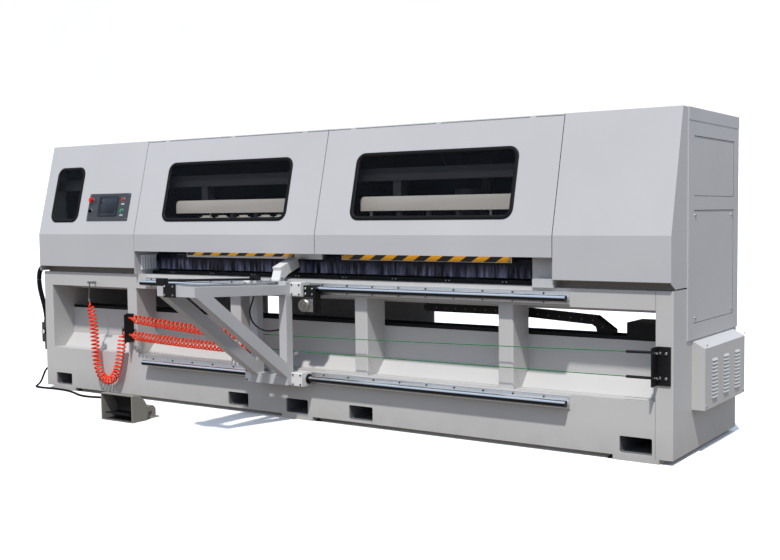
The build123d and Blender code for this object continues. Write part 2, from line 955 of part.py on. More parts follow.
def press_bar(start):
    bar = block(start, start + press_length, press_y, press_y + press_thick, press_foot, press_top)
    guides, pistons = press_rods(start)
    for x in guides:
        bar += rod((x, rod_y, press_top), (x, rod_y, press_top + guide_rod_length), guide_rod_radius)
    for x in pistons:
        bar += rod((x, rod_y, press_top), (x, rod_y, press_top + piston_length), piston_radius)
    return bar


def press_beam(beam_start, press_start):
    """A fixed hollow beam with the cylinders under it and bores for the guide rods."""
    x1 = beam_start + beam_length
    beam = box_girder(beam_start, x1, press_y, press_y + beam_depth, beam_foot, beam_top, beam_wall)
    guides, pistons = press_rods(press_start)
    for x in guides:
        beam -= rod((x, rod_y, beam_foot), (x, rod_y, beam_foot + beam_wall), guide_rod_radius + running_fit)
    parts = [beam]
    for x in pistons:
        head, foot = (x, rod_y, beam_foot), (x, rod_y, beam_foot - cylinder_length)
        parts.append(rod(foot, head, cylinder_radius) - rod(foot, head, piston_radius + running_fit))
    for x in (beam_start + hanger_inset, x1 - hanger_inset):
        near = press_y + beam_wall
        parts.append(block(x, x + hanger_width, near, press_y + beam_depth - beam_wall, beam_top, tie_foot))
    return parts


tie_end = end_x - sheet
tie = box_girder(-tie_end, tie_end, press_y, press_y + tie_size, tie_foot, tie_foot + tie_size, beam_wall)
beams = [part for pair in zip(beam_starts, press_starts) for part in press_beam(*pair)]
save("press_beams", tie, *beams)
save("left_press_bar", press_bar(press_starts[0]))
save("right_press_bar", press_bar(press_starts[1]))

# Milling unit

gantry_y = front + gantry_setback
gantry_foot = base_top + gantry_lift
gantry_top = gantry_foot + gantry_height
mill_rail_heights = (gantry_foot + mill_rail_inset, gantry_top - mill_rail_inset)
mill_rail_y = gantry_y - mill_rail_depth
block_y = mill_rail_y - mill_block_gap
plate_back = gantry_y - mill_rail_depth - mill_plate
pitch_radius = gear_module * pinion_teeth / 2
rack_pitch_z = (gantry_foot + gantry_top) / 2 + pitch_radius / 2
pinion_z = rack_pitch_z - pitch_radius
tooth_pitch = math.pi * gear_module


def rack():
    """A straight rack with its teeth pointing down and a tooth gap over the pinion."""
    flank = math.tan(math.radians(pressure_angle))
    half = tooth_pitch / 4 - backlash / 4
    tip_z = rack_pitch_z - gear_module
    root_z = rack_pitch_z + 1.25 * gear_module
    tip_half = half - gear_module * flank
    root_half = half + 1.25 * gear_module * flank
    first = math.ceil((rack_start - mill_x) / tooth_pitch)
    last = math.floor((rack_end - mill_x) / tooth_pitch)
    outline = []
    for index in range(first, last):
        x = mill_x + (index + 0.5) * tooth_pitch
        outline += [(x - root_half, root_z), (x - tip_half, tip_z)]
        outline += [(x + tip_half, tip_z), (x + root_half, root_z)]
    ends = (outline[-1][0], outline[0][0])
    outline += [(ends[0], root_z + rack_back), (ends[1], root_z + rack_back)]
    side = Plane((0, gantry_y, 0), x_dir=(1, 0, 0), z_dir=(0, -1, 0))
    return extrude(side * make_face(Polyline(*outline, close=True)), pinion_face)


def pinion_tooth(index):
    """One tooth with its flanks as arcs through three points of the involute."""
    base_radius = pitch_radius * math.cos(math.radians(pressure_angle))
    root = pitch_radius - 1.25 * gear_module
    tip = pitch_radius + gear_module
    lean = math.radians(pressure_angle)
    at_pitch = (tooth_pitch / 2 - backlash / 2) / (2 * pitch_radius) + math.tan(lean) - lean
    centre = math.pi / 2 + 2 * math.pi * index / pinion_teeth

    def flank_point(radius, side):
        roll = math.acos(min(1.0, base_radius / radius))
        angle = centre + side * (at_pitch - math.tan(roll) + roll)
        return (radius * math.cos(angle), radius * math.sin(angle))

    def foot_point(side):
        angle = centre + side * at_pitch
        inside = root - 1
        return (inside * math.cos(angle), inside * math.sin(angle))

    middle = (base_radius + tip) / 2
    flanks = [[flank_point(radius, side) for radius in (base_radius, middle, tip)] for side in (-1, 1)]
    edges = [Line(foot_point(-1), flanks[0][0]), ThreePointArc(*flanks[0])]
    edges += [Line(flanks[0][2], flanks[1][2]), ThreePointArc(*flanks[1])]
    edges += [Line(flanks[1][0], foot_point(1)), Line(foot_point(1), foot_point(-1))]
    return make_face(edges)


def pinion():
    gear = Circle(pitch_radius - 1.25 * gear_module)
    for index in range(pinion_teeth):
        gear += pinion_tooth(index)
    start_y = gantry_y - pinion_face + pinion_width
    side = Plane((mill_x, start_y, pinion_z), x_dir=(1, 0, 0), z_dir=(0, -1, 0))
    shaft_end = (mill_x, plate_back - mill_plate / 2, pinion_z)
    shaft = rod((mill_x, start_y, pinion_z), shaft_end, pinion_shaft_radius)
    return extrude(side * gear, pinion_width) + shaft


gantry_back = gantry_y + gantry_depth
gantry_section = (gantry_y, gantry_back, gantry_foot, gantry_top, gantry_wall)
gantry_plates = plate_girder(-gantry_half, gantry_half, *gantry_section)


def pedestal(x):
    half = pedestal_width / 2
    return block(x - half, x + half, gantry_y, gantry_back, base_top, gantry_foot)


save("gantry_beam", *gantry_plates, *[pedestal(x) for x in (-pedestal_spacing, 0.0, pedestal_spacing)])


def mill_rail(z):
    half = mill_rail_width / 2
    return block(-mill_rail_half, mill_rail_half, mill_rail_y, gantry_y, z - half, z + half)


save("mill_rails", *[mill_rail(z) for z in mill_rail_heights], rack())

plate_x0 = mill_x - mill_plate_width / 2
plate_x1 = mill_x + mill_plate_width / 2
plate_front = plate_back - mill_plate
block_face = gantry_y - mill_block_gap


def rail_block(x, z):
    """A bearing block that straddles one rail of the gantry."""
    half = mill_block_height / 2
    body = block(x, x + mill_block_length, plate_back, block_face, z - half, z + half)
    slot = mill_rail_width / 2 + mill_block_gap
    return body - block(x, x + mill_block_length, block_y, block_face, z - slot, z + slot)


def mill_way(x):
    """One upright guide way on the face of the travelling plate."""
    return block(x, x + way_width, plate_front - way_depth, plate_front, gantry_foot, gantry_top)


def mill_plate_solid():
    face = block(plate_x0, plate_x1, plate_front, plate_back, gantry_foot, gantry_top)
    hole = pinion_shaft_radius + running_fit
    return face - rod((mill_x, plate_back, pinion_z), (mill_x, plate_front, pinion_z), hole)


def dust_drum():
    """The half-round dust trough on a post above the travelling plate, open at its front."""
    z = base_top + duct_rise
    y1 = plate_back
    y0 = y1 - duct_length
    drum = rod((mill_x, y1, z), (mill_x, y0, z), duct_radius)
    room = rod((mill_x, y1 - duct_wall, z), (mill_x, y0, z), duct_radius - duct_wall)
    half = duct_post / 2
    post = block(mill_x - half, mill_x + half, plate_front, plate_back, gantry_top, z)
    wide = duct_radius
    above = block(mill_x - wide, mill_x + wide, y0, y1, hood_top - duct_clear, z + wide)
    return [drum - room - above, post - drum]


rail_blocks = [rail_block(x, z) for x in (plate_x0, plate_x1 - mill_block_length) for z in mill_rail_heights]
ways = [mill_way(plate_x0), mill_way(plate_x1 - way_width)]
save("mill_carriage", mill_plate_solid(), *rail_blocks, *ways, *dust_drum())
save("feed_pinion", pinion())

spindle_y = front + spindle_setback
head_back = plate_front - way_depth - head_gap
head_front = head_back - head_plate
spindle_z = base_top + spindle_foot
cutter_z = base_top + cutter_lift


def head_parts():
    """The lifting plate, its arm and the upright spindle motor with its nose."""
    half = head_width / 2
    back = block(mill_x - half, mill_x + half, head_front, head_back, gantry_foot + way_width, gantry_top)
    reach = head_arm_width / 2
    arm_foot = gantry_top - head_arm_height
    arm = block(mill_x - reach, mill_x + reach, spindle_y, head_front, arm_foot, gantry_top)
    motor_foot = (mill_x, spindle_y, spindle_z)
    motor = rod(motor_foot, (mill_x, spindle_y, spindle_z + spindle_length), spindle_radius)
    nose_end = (mill_x, spindle_y, cutter_z + cutter_height + head_gap)
    nose = rod(nose_end, motor_foot, spindle_nose_radius)
    seat_end = (mill_x, spindle_y, cutter_z + cutter_height + arbor_length + head_gap)
    return back + (arm - motor - nose) + motor + nose - rod(nose_end, seat_end, arbor_radius + running_fit)


def cutter():
    """A cutter head with straight knives set round its body and an arbor on top."""
    foot = (mill_x, spindle_y, cutter_z)
    head = (mill_x, spindle_y, cutter_z + cutter_height)
    core = cutter_radius - knife_length / 2
    body = rod(foot, head, core)
    knife = Pos(core, 0, cutter_height / 2) * Box(knife_length, knife_width, cutter_height)
    for index in range(cutter_knives):
        body += Pos(*foot) * Rot(0, 0, 360 * index / cutter_knives) * knife
    return body + rod(head, (mill_x, spindle_y, cutter_z + cutter_height + arbor_length), arbor_radius)


save("mill_head", head_parts())
save("cutter", cutter())

# Control panel


def panel_point(x, up):
    """A spot on the control panel, measured from its lower left corner."""
    return panel_left + x, panel_foot + up


def on_panel(x, up, out):
    place, along = panel_point(x, up)
    return slope_plane(place, along, out)


def disc(plane, radius, thick):
    return extrude(plane * Circle(radius), thick)


button_spots = [(x, up) for x in (left_button_x, right_button_x) for up in (high_button, low_button)]


def panel_face():
    face = slope_plate(
        panel_middle, panel_foot + panel_height / 2, panel_width, panel_height, panel_round, 0, panel_plate
    )
    for spot in button_spots:
        face -= disc(on_panel(*spot, 0), button_radius + button_fit, panel_plate)
    return face


def collar(spot):
    ring = disc(on_panel(*spot, panel_plate), collar_radius, collar_height)
    return ring - disc(on_panel(*spot, panel_plate), button_radius + button_fit, collar_height)


def button(spot):
    """A push button standing proud of its collar, with a stem behind the panel."""
    out = panel_plate + collar_height + button_proud
    return disc(on_panel(*spot, out - button_stem), button_radius, button_stem)


def mushroom(spot):
    out = panel_plate + collar_height + mushroom_lift
    stem = disc(on_panel(*spot, out - button_stem), button_radius, button_stem)
    head = disc(on_panel(*spot, out), mushroom_radius, mushroom_height)
    rim = head.edges().sort_by(Axis(head.center(), slope_out))[-1]
    return stem + fillet(rim, mushroom_height / 2)


def selector(spot):
    out = panel_plate + collar_height + button_fit
    stem = disc(on_panel(*spot, out - button_stem / 2), button_radius, button_stem / 2)
    base = disc(on_panel(*spot, out), knob_radius, knob_height)
    size = (grip_width, 2 * (knob_radius - grip_round), grip_round)
    return stem + base + slope_plate(*panel_point(*spot), *size, out + knob_height, grip_height)


def screen():
    place, along = panel_point(screen_start + screen_width / 2, screen_foot + screen_height / 2)
    body = slope_plate(place, along, screen_width, screen_height, panel_round, panel_plate, screen_depth)
    size = (screen_width - 2 * screen_bezel, screen_height - 2 * screen_bezel)
    return body - slope_plate(place, along, *size, 2.0, panel_plate + screen_depth - screen_sink, screen_sink)


save("control_panel", panel_face(), *[collar(spot) for spot in button_spots])
save("touch_screen", screen())
save("emergency_button", mushroom(button_spots[0]))
save("selector_knob", selector(button_spots[1]))
save("stop_button", button(button_spots[2]))
save("start_button", button(button_spots[3]))

# Support carriage

tilt = math.tan(math.radians(beam_tilt))
upper_hose_end = upper_rope_low - hose_hang
lower_hose_end = lower_rope_low - hose_hang
column_y = front - column_front
column_back = column_y + column_depth
reach_y = front - beam_reach
bracket_places = (carriage_x - bracket_spacing / 2, carriage_x + bracket_spacing / 2)
left_edge = bracket_places[0] - tube_width / 2
right_edge = bracket_places[1] + tube_width / 2
inner_left = bracket_places[0] + tube_width / 2
inner_right = bracket_places[1] - tube_width / 2


def beam_line(y, above):
    """Height of a line parallel to the tilted beams, given above their underside."""
    return bottom + carriage_beam_rise - carriage_beam_depth + (column_y - y) * tilt + above


def tilted(x0, x1, y0, y1, low, high):
    """A bar that follows the beams' tilt between two depths, with upright ends."""
    outline = [(y0, beam_line(y0, low)), (y1, beam_line(y1, low))]
    return prism(x0, x1, outline + [(y1, beam_line(y1, high)), (y0, beam_line(y0, high))])


def column(x):
    half = tube_width / 2
    return block(x - half, x + half, column_y, column_back, bottom + column_foot, bottom + column_top)


def top_beam(x):
    half = tube_width / 2
    return tilted(x - half, x + half, reach_y, column_y, 0, carriage_beam_depth)


def strut(x):
    """The slanted brace from the column's foot to the front of its beam."""
    half = tube_width / 2
    slant = math.tan(math.radians(strut_angle))
    rise = strut_depth / math.cos(math.radians(strut_angle))
    low = bottom + strut_foot
    outline = [(column_y, low), (column_y, low + rise)]
    for start in (low + rise, low):
        run = (beam_line(column_y, 0) - start) / (slant - tilt)
        outline.append((column_y - run, start + run * slant))
    return prism(x - half, x + half, outline)


lower_foot = bottom + column_foot
cross_low = block(inner_left, inner_right, column_y, column_back, lower_foot, lower_foot + cross_tube_height)
axis_end = axis_start + axis_width
cross_high = tilted(axis_end, inner_right, column_y, column_back, 0, carriage_beam_depth)
axis_top = carriage_beam_depth + axis_extra
stub = tilted(axis_end, inner_right, reach_y, reach_y + stub_depth, 0, carriage_beam_depth)
frame_bars = [make(x) for make in (column, top_beam, strut) for x in bracket_places]
save("carriage_frame", *frame_bars, cross_low, cross_high, stub)


def axis_profile():
    """The grooved aluminium axis that carries the pusher between the beams."""
    top = axis_top
    y1 = front - axis_rear
    body = tilted(axis_start, axis_end, reach_y, y1, 0, top)
    middle = (axis_start + axis_end) / 2
    return body - tilted(middle - axis_groove, middle + axis_groove, reach_y, y1, top - axis_groove, top)


save("linear_axis", axis_profile())


def side_rod_point(y):
    return (side_rod_x, y, beam_line(y, carriage_beam_depth + side_rod_lift))


def front_block():
    """The black block at the front end of the side rod, standing on the left beam."""
    x0 = side_rod_x - side_block_width / 2
    low = carriage_beam_depth
    depths = (reach_y, reach_y + side_block_depth)
    return tilted(x0, x0 + side_block_width, *depths, low, low + side_block_height)


def rear_block():
    """The black block on top of the left column that holds the rear end of the side rod."""
    half = tube_width / 2
    x = bracket_places[0]
    top = beam_line(column_y, carriage_beam_depth + side_rod_lift) + side_block_height / 2
    return block(x - half, x + half, column_y, column_y + rear_block_depth, bottom + column_top, top)


def side_rod():
    start = side_rod_point(reach_y + side_block_depth)
    return rod(start, side_rod_point(column_y), side_rod_radius)


def end_cap():
    """The black cap on the front end of the axis."""
    y1 = reach_y
    return tilted(axis_start, axis_end, y1 - cap_thick, y1, -cap_proud, axis_top + cap_proud)


def hose_clip(hose_z):
    """A clip behind the left column that pulls the end of a curly hose along."""
    back = front - rope_reach + clip_margin
    foot = hose_z - 2 * clip_margin
    return block(left_edge - clip_plate, left_edge, column_y, back, foot, hose_z + clip_margin / 2)


rod_trim = side_rod() - front_block() - rear_block()
clips = [hose_clip(upper_hose_end), hose_clip(lower_hose_end)]
save("carriage_fittings", front_block(), rear_block(), rod_trim, end_cap(), *clips)


def shaft_slot(x0, x1, z):
    """The room that a block on a rail needs round the shaft and over the rail's web."""
    room = rod((x0, shaft_y, z), (x1, shaft_y, z), shaft_radius + running_fit)
    half = rail_web_half + block_clear
    return room + block(x0, x1, shaft_y, front, z - half, z + half)


def bearing(x0, z):
    x1 = x0 + block_length
    half = block_height / 2
    body = block(x0, x1, front - block_front, front - block_back, z - half, z + half)
    body = chamfer(body.edges().filter_by(Axis.X).group_by(Axis.Y)[0], rib_round / 2)
    return body - shaft_slot(x0, x1, z)


bearing_starts = (left_edge - block_length, right_edge)
save("bearing_blocks", *[bearing(x, z) for x in bearing_starts for z in rail_heights])


def brake():
    """The rail brake beside the upper right bearing, and the air valve that hangs under it."""
    x0 = right_edge + block_length
    x1 = x0 + brake_length
    y0, y1 = front - brake_front, front - block_back
    under = upper_rail_z - brake_drop
    body = block(x0, x1, y0, y1, under, upper_rail_z + brake_rise)
    body -= shaft_slot(x0, x1, upper_rail_z)
    valve_x = x0 + valve_inset
    valve_z = under - valve_gap - valve_radius
    valve_foot = valve_z - valve_radius
    back = y0 + valve_depth
    hanger_x = x1 - valve_hanger
    valve = rod((valve_x, y0, valve_z), (valve_x, back, valve_z), valve_radius)
    valve += block(valve_x, hanger_x, y0, back, valve_foot, valve_z + valve_radius)
    lip = valve_foot - valve_hanger
    hanger = block(hanger_x, x1, y0, y1, lip, under) + block(valve_x, hanger_x, y0, back, lip, valve_foot)
    return [body, valve, hanger]


save("rail_brake", *brake())

# Pusher saddle and clamp arm

pivot_y = front - pivot_front
pivot_z = bottom + pivot_height
arm_end = arm_start + arm_width
arm_middle = (arm_start + arm_end) / 2
saddle_y0 = front - saddle_front
saddle_y1 = front - saddle_rear


def pivot_rod(x0, x1, radius):
    return rod((x0, pivot_y, pivot_z), (x1, pivot_y, pivot_z), radius)


def saddle():
    """The sliding plate on the axis with two clevis lugs for the arm's pin."""
    low = axis_top + saddle_gap
    plate_solid = tilted(saddle_start, saddle_end, saddle_y0, saddle_y1, low, low + saddle_plate)
    for side in (-1, 1):
        near = arm_middle + side * (arm_width / 2 + lug_gap)
        x0, x1 = sorted((near, near + side * lug_width / 2))
        foot = beam_line(pivot_y, low + saddle_plate / 2)
        lug = block(x0, x1, pivot_y - lug_radius, pivot_y + lug_radius, foot, pivot_z)
        plate_solid += lug + pivot_rod(x0, x1, lug_radius)
    reach = arm_width / 2 + lug_gap + lug_width / 2
    pin = pivot_rod(arm_middle - reach, arm_middle + reach, pivot_radius)
    swing = pivot_rod(arm_start - lug_gap, arm_end + lug_gap, lug_radius + lug_gap)
    return [plate_solid - pin - swing, pin]


save("pusher_saddle", *saddle())

arm_corner = Vector(0, front - arm_front, bottom + arm_front_top)
arm_along = Vector(0, math.cos(math.radians(arm_tilt)), math.sin(math.radians(arm_tilt)))
arm_down = Vector(0, arm_along.Z, -arm_along.Y)


def arm_point(along, down):
    place = arm_corner + arm_along * along + arm_down * down
    return (place.Y, place.Z)


def arm_bar(x0, x1, along0, along1, down0, down1):
    corners = ((along0, down0), (along1, down0), (along1, down1), (along0, down1))
    return prism(x0, x1, [arm_point(*corner) for corner in corners])


def clamp_arm_solid():
    """A short tilted box arm, closed at the front, with an eye under its front end."""
    inset = (arm_start + arm_wall, arm_end - arm_wall)
    box = arm_bar(arm_start, arm_end, 0, arm_length, 0, arm_height)
    room = arm_bar(*inset, arm_wall, arm_length, arm_wall, arm_height - arm_wall)
    outline = [(pivot_y - lug_radius, pivot_z), (pivot_y + lug_radius, pivot_z)]
    outline += [arm_point(arm_height, arm_height), arm_point(0, arm_height), arm_point(0, arm_height / 3)]
    web = prism(arm_start, arm_end, outline) + pivot_rod(arm_start, arm_end, lug_radius)
    return box - room + (web - box) - pivot_rod(arm_start, arm_end, pivot_radius + running_fit)


save("clamp_arm", clamp_arm_solid())
pad_span = (arm_length - pad_length, arm_length, arm_height, arm_height + pad_thick)
save("clamp_pad", arm_bar(arm_start, arm_end, *pad_span))

# Rope brackets, ropes and curly hoses

bracket_z0 = bottom + bracket_foot
bracket_z1 = bracket_z0 + bracket_height
hose_y = front - rope_reach


def rope_bracket(x0, flange_x):
    """An angle bracket: a plate on the base and a flange that the ropes end in."""
    heights = (bracket_z0, bracket_z1)
    foot = block(x0, x0 + bracket_width, front - bracket_plate, front, *heights)
    return foot + block(flange_x, flange_x + bracket_plate, front - bracket_flange, front, *heights)


def rope_sleeve(points):
    """The black sleeve in which a rope ends at the right bracket."""
    start = Vector(*points[-1])
    way = (start - Vector(*points[-2])).normalized()
    end = start + way * (2 * sleeve_length)
    beyond = end.X + sleeve_radius
    flange_face = block(right_bracket_x, beyond, hose_y - 50, hose_y + 50, start.Z - 50, start.Z + 50)
    return rod(start, end, sleeve_radius) - flange_face


left_flange = left_bracket_x + bracket_width - bracket_plate
rope_left = left_flange + bracket_plate
rope_right = right_bracket_x - sleeve_length
upper_rope_route = [
    (rope_left, hose_y, 634),
    (-1000, hose_y, 584),
    (-200, hose_y, upper_rope_low),
    (rope_right, hose_y, 616),
]
lower_rope_route = [
    (rope_left, hose_y, 508),
    (-1100, hose_y, 476),
    (-200, hose_y, lower_rope_low),
    (rope_right, hose_y, 480),
]
upper_rope = cord(upper_rope_route, rope_radius, "upper_rope")
lower_rope = cord(lower_rope_route, rope_radius, "lower_rope")
left_bracket = rope_bracket(left_bracket_x, left_flange) - upper_rope - lower_rope
right_bracket = rope_bracket(right_bracket_x, right_bracket_x)
sleeves = [rope_sleeve(upper_rope_route), rope_sleeve(lower_rope_route)]
save("rope_brackets", left_bracket, right_bracket, *sleeves)
save("upper_rope", upper_rope)
save("lower_rope", lower_rope)


def biarc(start, start_way, end, end_way):
    """Two arcs that leave one point and reach another along given directions."""
    span = end - start
    both = start_way + end_way
    square = 2 * (1 - start_way.dot(end_way))
    middle = span.dot(both)
    reach = (math.sqrt(middle**2 + square * span.dot(span)) - middle) / square
    near = start + start_way * reach
    far = end - end_way * reach
    joint = (near + far) / 2
    return [TangentArc(start, joint, tangent=start_way), TangentArc(joint, end, tangent=far - near)]


def curl_point(line, share, curls):
    """A spot on the curls, which open up from the hose's line at both ends."""
    turn = share * curls
    opening = min(1.0, turn / curl_ramp, (curls - turn) / curl_ramp)
    radius = curl_radius * opening**2 * (3 - 2 * opening)
    way = line % share
    across = Vector(0, 1, 0)
    side = across.cross(way)
    angle = 2 * math.pi * (turn - curl_ramp / 2)
    return (line @ share) + side * (radius * math.cos(angle)) + across * (radius * math.sin(angle))


def curly_hose(points, curls, name):
    """One unbroken tube wound in curls round its route, with straight ends."""
    line = route(points, name)
    steps = round(4 * curls)
    small = 0.02 / steps

    def way(share):
        low, high = max(0.0, share - small), min(1.0, share + small)
        return (curl_point(line, high, curls) - curl_point(line, low, curls)).normalized()

    stops = [step / steps for step in range(steps + 1)]
    spots = [curl_point(line, share, curls) for share in stops]
    ways = [line % 0] + [way(share) for share in stops[1:-1]] + [line % 1]
    tail = 2 * hose_radius
    edges = [Line(spots[0] - ways[0] * tail, spots[0])]
    for index in range(steps):
        edges += biarc(spots[index], ways[index], spots[index + 1], ways[index + 1])
    edges.append(Line(spots[-1], spots[-1] + ways[-1] * tail))
    path = Wire(edges)
    tube = sweep(Plane(path @ 0, z_dir=path % 0) * Circle(hose_radius), path=path)
    fine = [curl_point(line, step / (6 * steps), curls) for step in range(6 * steps + 1)]
    gap = min((a - b).length for i, a in enumerate(fine) for b in fine[i + 12 : i + 60])
    print(name, "least gap to itself", round(gap - 2 * hose_radius, 2), "tube length", round(path.length))
    print(name, "volume share", round(tube.volume / (math.pi * hose_radius**2 * path.length), 4))
    return tube


def fitting(point, way, length):
    """A round hose fitting from a tube's end onward, along the tube."""
    end = point + way * length
    return rod(point, end, fitting_radius)


def hose_end(points, last, reach):
    """The spot beyond one end of a route, and the way out of it."""
    pair = points[-2:] if last else points[1::-1]
    way = (Vector(*pair[1]) - Vector(*pair[0])).normalized()
    return Vector(*pair[1]) + way * reach, way


hose_left = rope_left + port_length + 2 * hose_radius
hose_right = left_edge - clip_plate - clip_gap - 2 * hose_radius
upper_hose_route = [
    (hose_left, hose_y, 632 - hose_hang),
    (-1000, hose_y, 584 - hose_hang),
    (hose_right, hose_y, upper_hose_end),
]
lower_hose_route = [
    (hose_left, hose_y, 506 - hose_hang),
    (-1100, hose_y, 476 - hose_hang),
    (hose_right, hose_y, lower_hose_end),
]
loop_route = [
    (-1988, hose_y, 712),
    (-1970, hose_y, 640),
    (-1952, hose_y, 560),
    (-1944, hose_y, 470),
    (-1937, hose_y, 370),
    (-1928, hose_y, 275),
    (-1901, hose_y, 190),
    (-1845, hose_y, 132),
    (-1780, hose_y, 128),
    (-1724, hose_y, 170),
    (-1686, hose_y, 250),
    (-1662, hose_y, 335),
    (-1640, hose_y, 425),
    (-1628, hose_y, 505),
]
save("loop_hose", curly_hose(loop_route, loop_curls, "loop_hose"))
save("upper_hose", curly_hose(upper_hose_route, upper_curls, "upper_hose"))
save("lower_hose", curly_hose(lower_hose_route, lower_curls, "lower_hose"))

# Air tee, ports, air unit and cords of the left end

tail = 2 * hose_radius
end_y = front + cable_exit_setback
unit_y = front + air_unit_start
unit_z = bottom + air_unit_foot
unit_top = unit_z + air_unit_height
conduit_y = unit_y + conduit_radius + gland_wall
conduit_x = -end_x - gland_length
conduit_route = [
    (conduit_x, conduit_y, 980),
    (-2664, conduit_y, 980),
    (-2702, conduit_y, 958),
    (-2722, conduit_y, 912),
    (-2724, conduit_y, 846),
    (-2707, conduit_y, 768),
    (-2676, conduit_y, 690),
    (-2652, conduit_y, 614),
    (-2644, conduit_y, unit_top + gland_length),
]
floor_z = cable_radius + floor_gap
cable_route = [
    (-end_x - gland_length, end_y, bottom + cable_exit_height),
    (-2660, end_y, 157),
    (-2694, end_y - 3, 132),
    (-2716, end_y - 10, 84),
    (-2729, end_y - 24, 34),
    (-2730, end_y - 62, floor_z),
    (-2700, end_y - 98, floor_z),
    (-2648, end_y - 114, floor_z),
    (-2575, end_y - 112, floor_z),
    (-2450, end_y - 96, floor_z),
    (-2290, end_y - 106, floor_z),
    (-2163, end_y - 150, floor_z),
    (-2050, end_y - 200, floor_z),
    (-1950, end_y - 218, floor_z),
    (-1865, end_y - 204, floor_z),
    (-1760, end_y - 172, floor_z),
    (-1640, end_y - 184, floor_z),
    (-1500, end_y - 236, floor_z),
    (-1370, end_y - 306, floor_z),
    (-1250, end_y - 342, floor_z),
    (-1140, end_y - 370, floor_z),
    (pedal_x - 58, end_y - 372, floor_z + 3),
    (pedal_x, front - pedal_rear + gland_length + 63, cable_entry_height - 2),
    (pedal_x, front - pedal_rear + gland_length, cable_entry_height),
]


def tee():
    """The air tee on the base front: a cross pipe on a stand, and a stem down to the hanging hose."""
    z = bottom + tee_height
    pipe = rod((tee_x - tee_left, hose_y, z), (tee_x + tee_right, hose_y, z), tee_radius)
    stand = rod((tee_x, hose_y, z), (tee_x, front, z), stand_radius)
    start, way = hose_end(loop_route, False, tail)
    top = start + way * fitting_length
    stem = rod((tee_x, hose_y, z), top, stem_radius)
    return pipe + stand + stem + fitting(start, way, fitting_length)


def elbow():
    """The fitting in which the hanging hose ends, turned into the left bracket's flange."""
    start, way = hose_end(loop_route, True, tail)
    top = start + way * fitting_length
    side = rod(top, (left_flange, hose_y, top.Z), fitting_radius)
    knob = Pos(top) * Sphere(fitting_radius)
    return fitting(start, way, fitting_length) + knob + side


def port(points):
    """A port on the left bracket's flange for one of the stretched hoses."""
    start, way = hose_end(points, False, tail)
    flange_side = block(left_flange, rope_left, hose_y - 50, hose_y + 50, start.Z - 50, start.Z + 50)
    return fitting(start, way, port_length + 1) - flange_side


def gland(points, last, radius):
    """A cable gland between a cord's end and the face it enters."""
    start, way = hose_end(points, last, 0)
    end = start + way * (gland_length + 4)
    return rod(start, end, radius)


def air_unit():
    """The air preparation unit on the left end, with two bowls under it."""
    x0 = -end_x - air_unit_reach
    body = block(x0, -end_x, unit_y, unit_y + air_unit_width, unit_z, unit_top)
    for share in (0.25, 0.75):
        spot = (x0 + air_unit_reach / 2, unit_y + share * air_unit_width)
        bowl_radius = air_unit_width / 4 - 1
        body += rod((*spot, unit_z), (*spot, unit_z - air_bowl_length), bowl_radius)
    return body


end_wall = block(-end_x, -end_x + end_post, front - hood_overhang, rear, 0, hood_top)
unit_block = air_unit()
conduit_gland = conduit_radius + gland_wall
conduit_glands = [gland(conduit_route, False, conduit_gland) - end_wall]
conduit_glands.append(gland(conduit_route, True, conduit_gland) - unit_block)
cable_gland = gland(cable_route, False, gland_radius) - end_wall
ports = [port(upper_hose_route), port(lower_hose_route)]
save("air_fittings", tee(), elbow(), *ports, unit_block, *conduit_glands, cable_gland)
save("side_conduit", cord(conduit_route, conduit_radius, "side_conduit"))
save("pedal_cable", cord(cable_route, cable_radius, "pedal_cable"))

air_hose_y = column_y - air_hose_fitting
air_hose_end = inner_right - air_hose_fitting
air_hose_route = [
    (-210, air_hose_y, beam_line(air_hose_y, 0) - air_hose_fitting),
    (-212, column_y - 16, 814),
    (-226, column_y - 28, 770),
    (-230, column_y - 34, 722),
    (-214, column_y - 34, 676),
    (-180, column_y - 30, 640),
    (-134, column_y - 20, 616),
    (-88, column_y - 4, 608),
    (-50, column_y + 16, 614),
    (air_hose_end, column_y + 26, 618),
]


def air_hose_nipple(last):
    """The short fitting between an end of the hose and the bar that it enters."""
    start, way = hose_end(air_hose_route, last, 0)
    nipple = rod(start, start + way * (2 * air_hose_fitting), air_hose_radius + 2)
    for bar in frame_bars:
        nipple -= bar
    return nipple


nipples = [air_hose_nipple(False), air_hose_nipple(True)]
save("carriage_hose", cord(air_hose_route, air_hose_radius, "carriage_hose"), *nipples)

# Foot pedal

pedal_y = front - pedal_front
hood_back = pedal_y + pedal_hood_depth
box_back = front - pedal_rear
lever_y = pedal_y + lever_pivot_setback
lever_z = lever_pivot_height
pedal_side = pedal_width / 2
pedal_room = pedal_side - pedal_wall


def pedal_dome(half, wall):
    """The guard hood's D shape, or the room inside it, across a half width."""
    mouth = pedal_y - (1 if wall else 0)
    top = pedal_height - wall
    back = hood_back - wall
    foot = pedal_floor if wall else 0
    bend = math.sqrt(0.5)
    crown = (mouth + (back - mouth) * bend, pedal_knee + (top - pedal_knee) * bend)
    heel = (back - pedal_tuck, foot)
    lines = [ThreePointArc((mouth, top), crown, (back, pedal_knee)), Line((back, pedal_knee), heel)]
    lines += [Line(heel, (mouth, foot)), Line((mouth, foot), (mouth, top))]
    side = Plane((pedal_x - half, 0, 0), x_dir=(0, 1, 0), z_dir=(1, 0, 0))
    return extrude(side * make_face(lines), 2 * half)


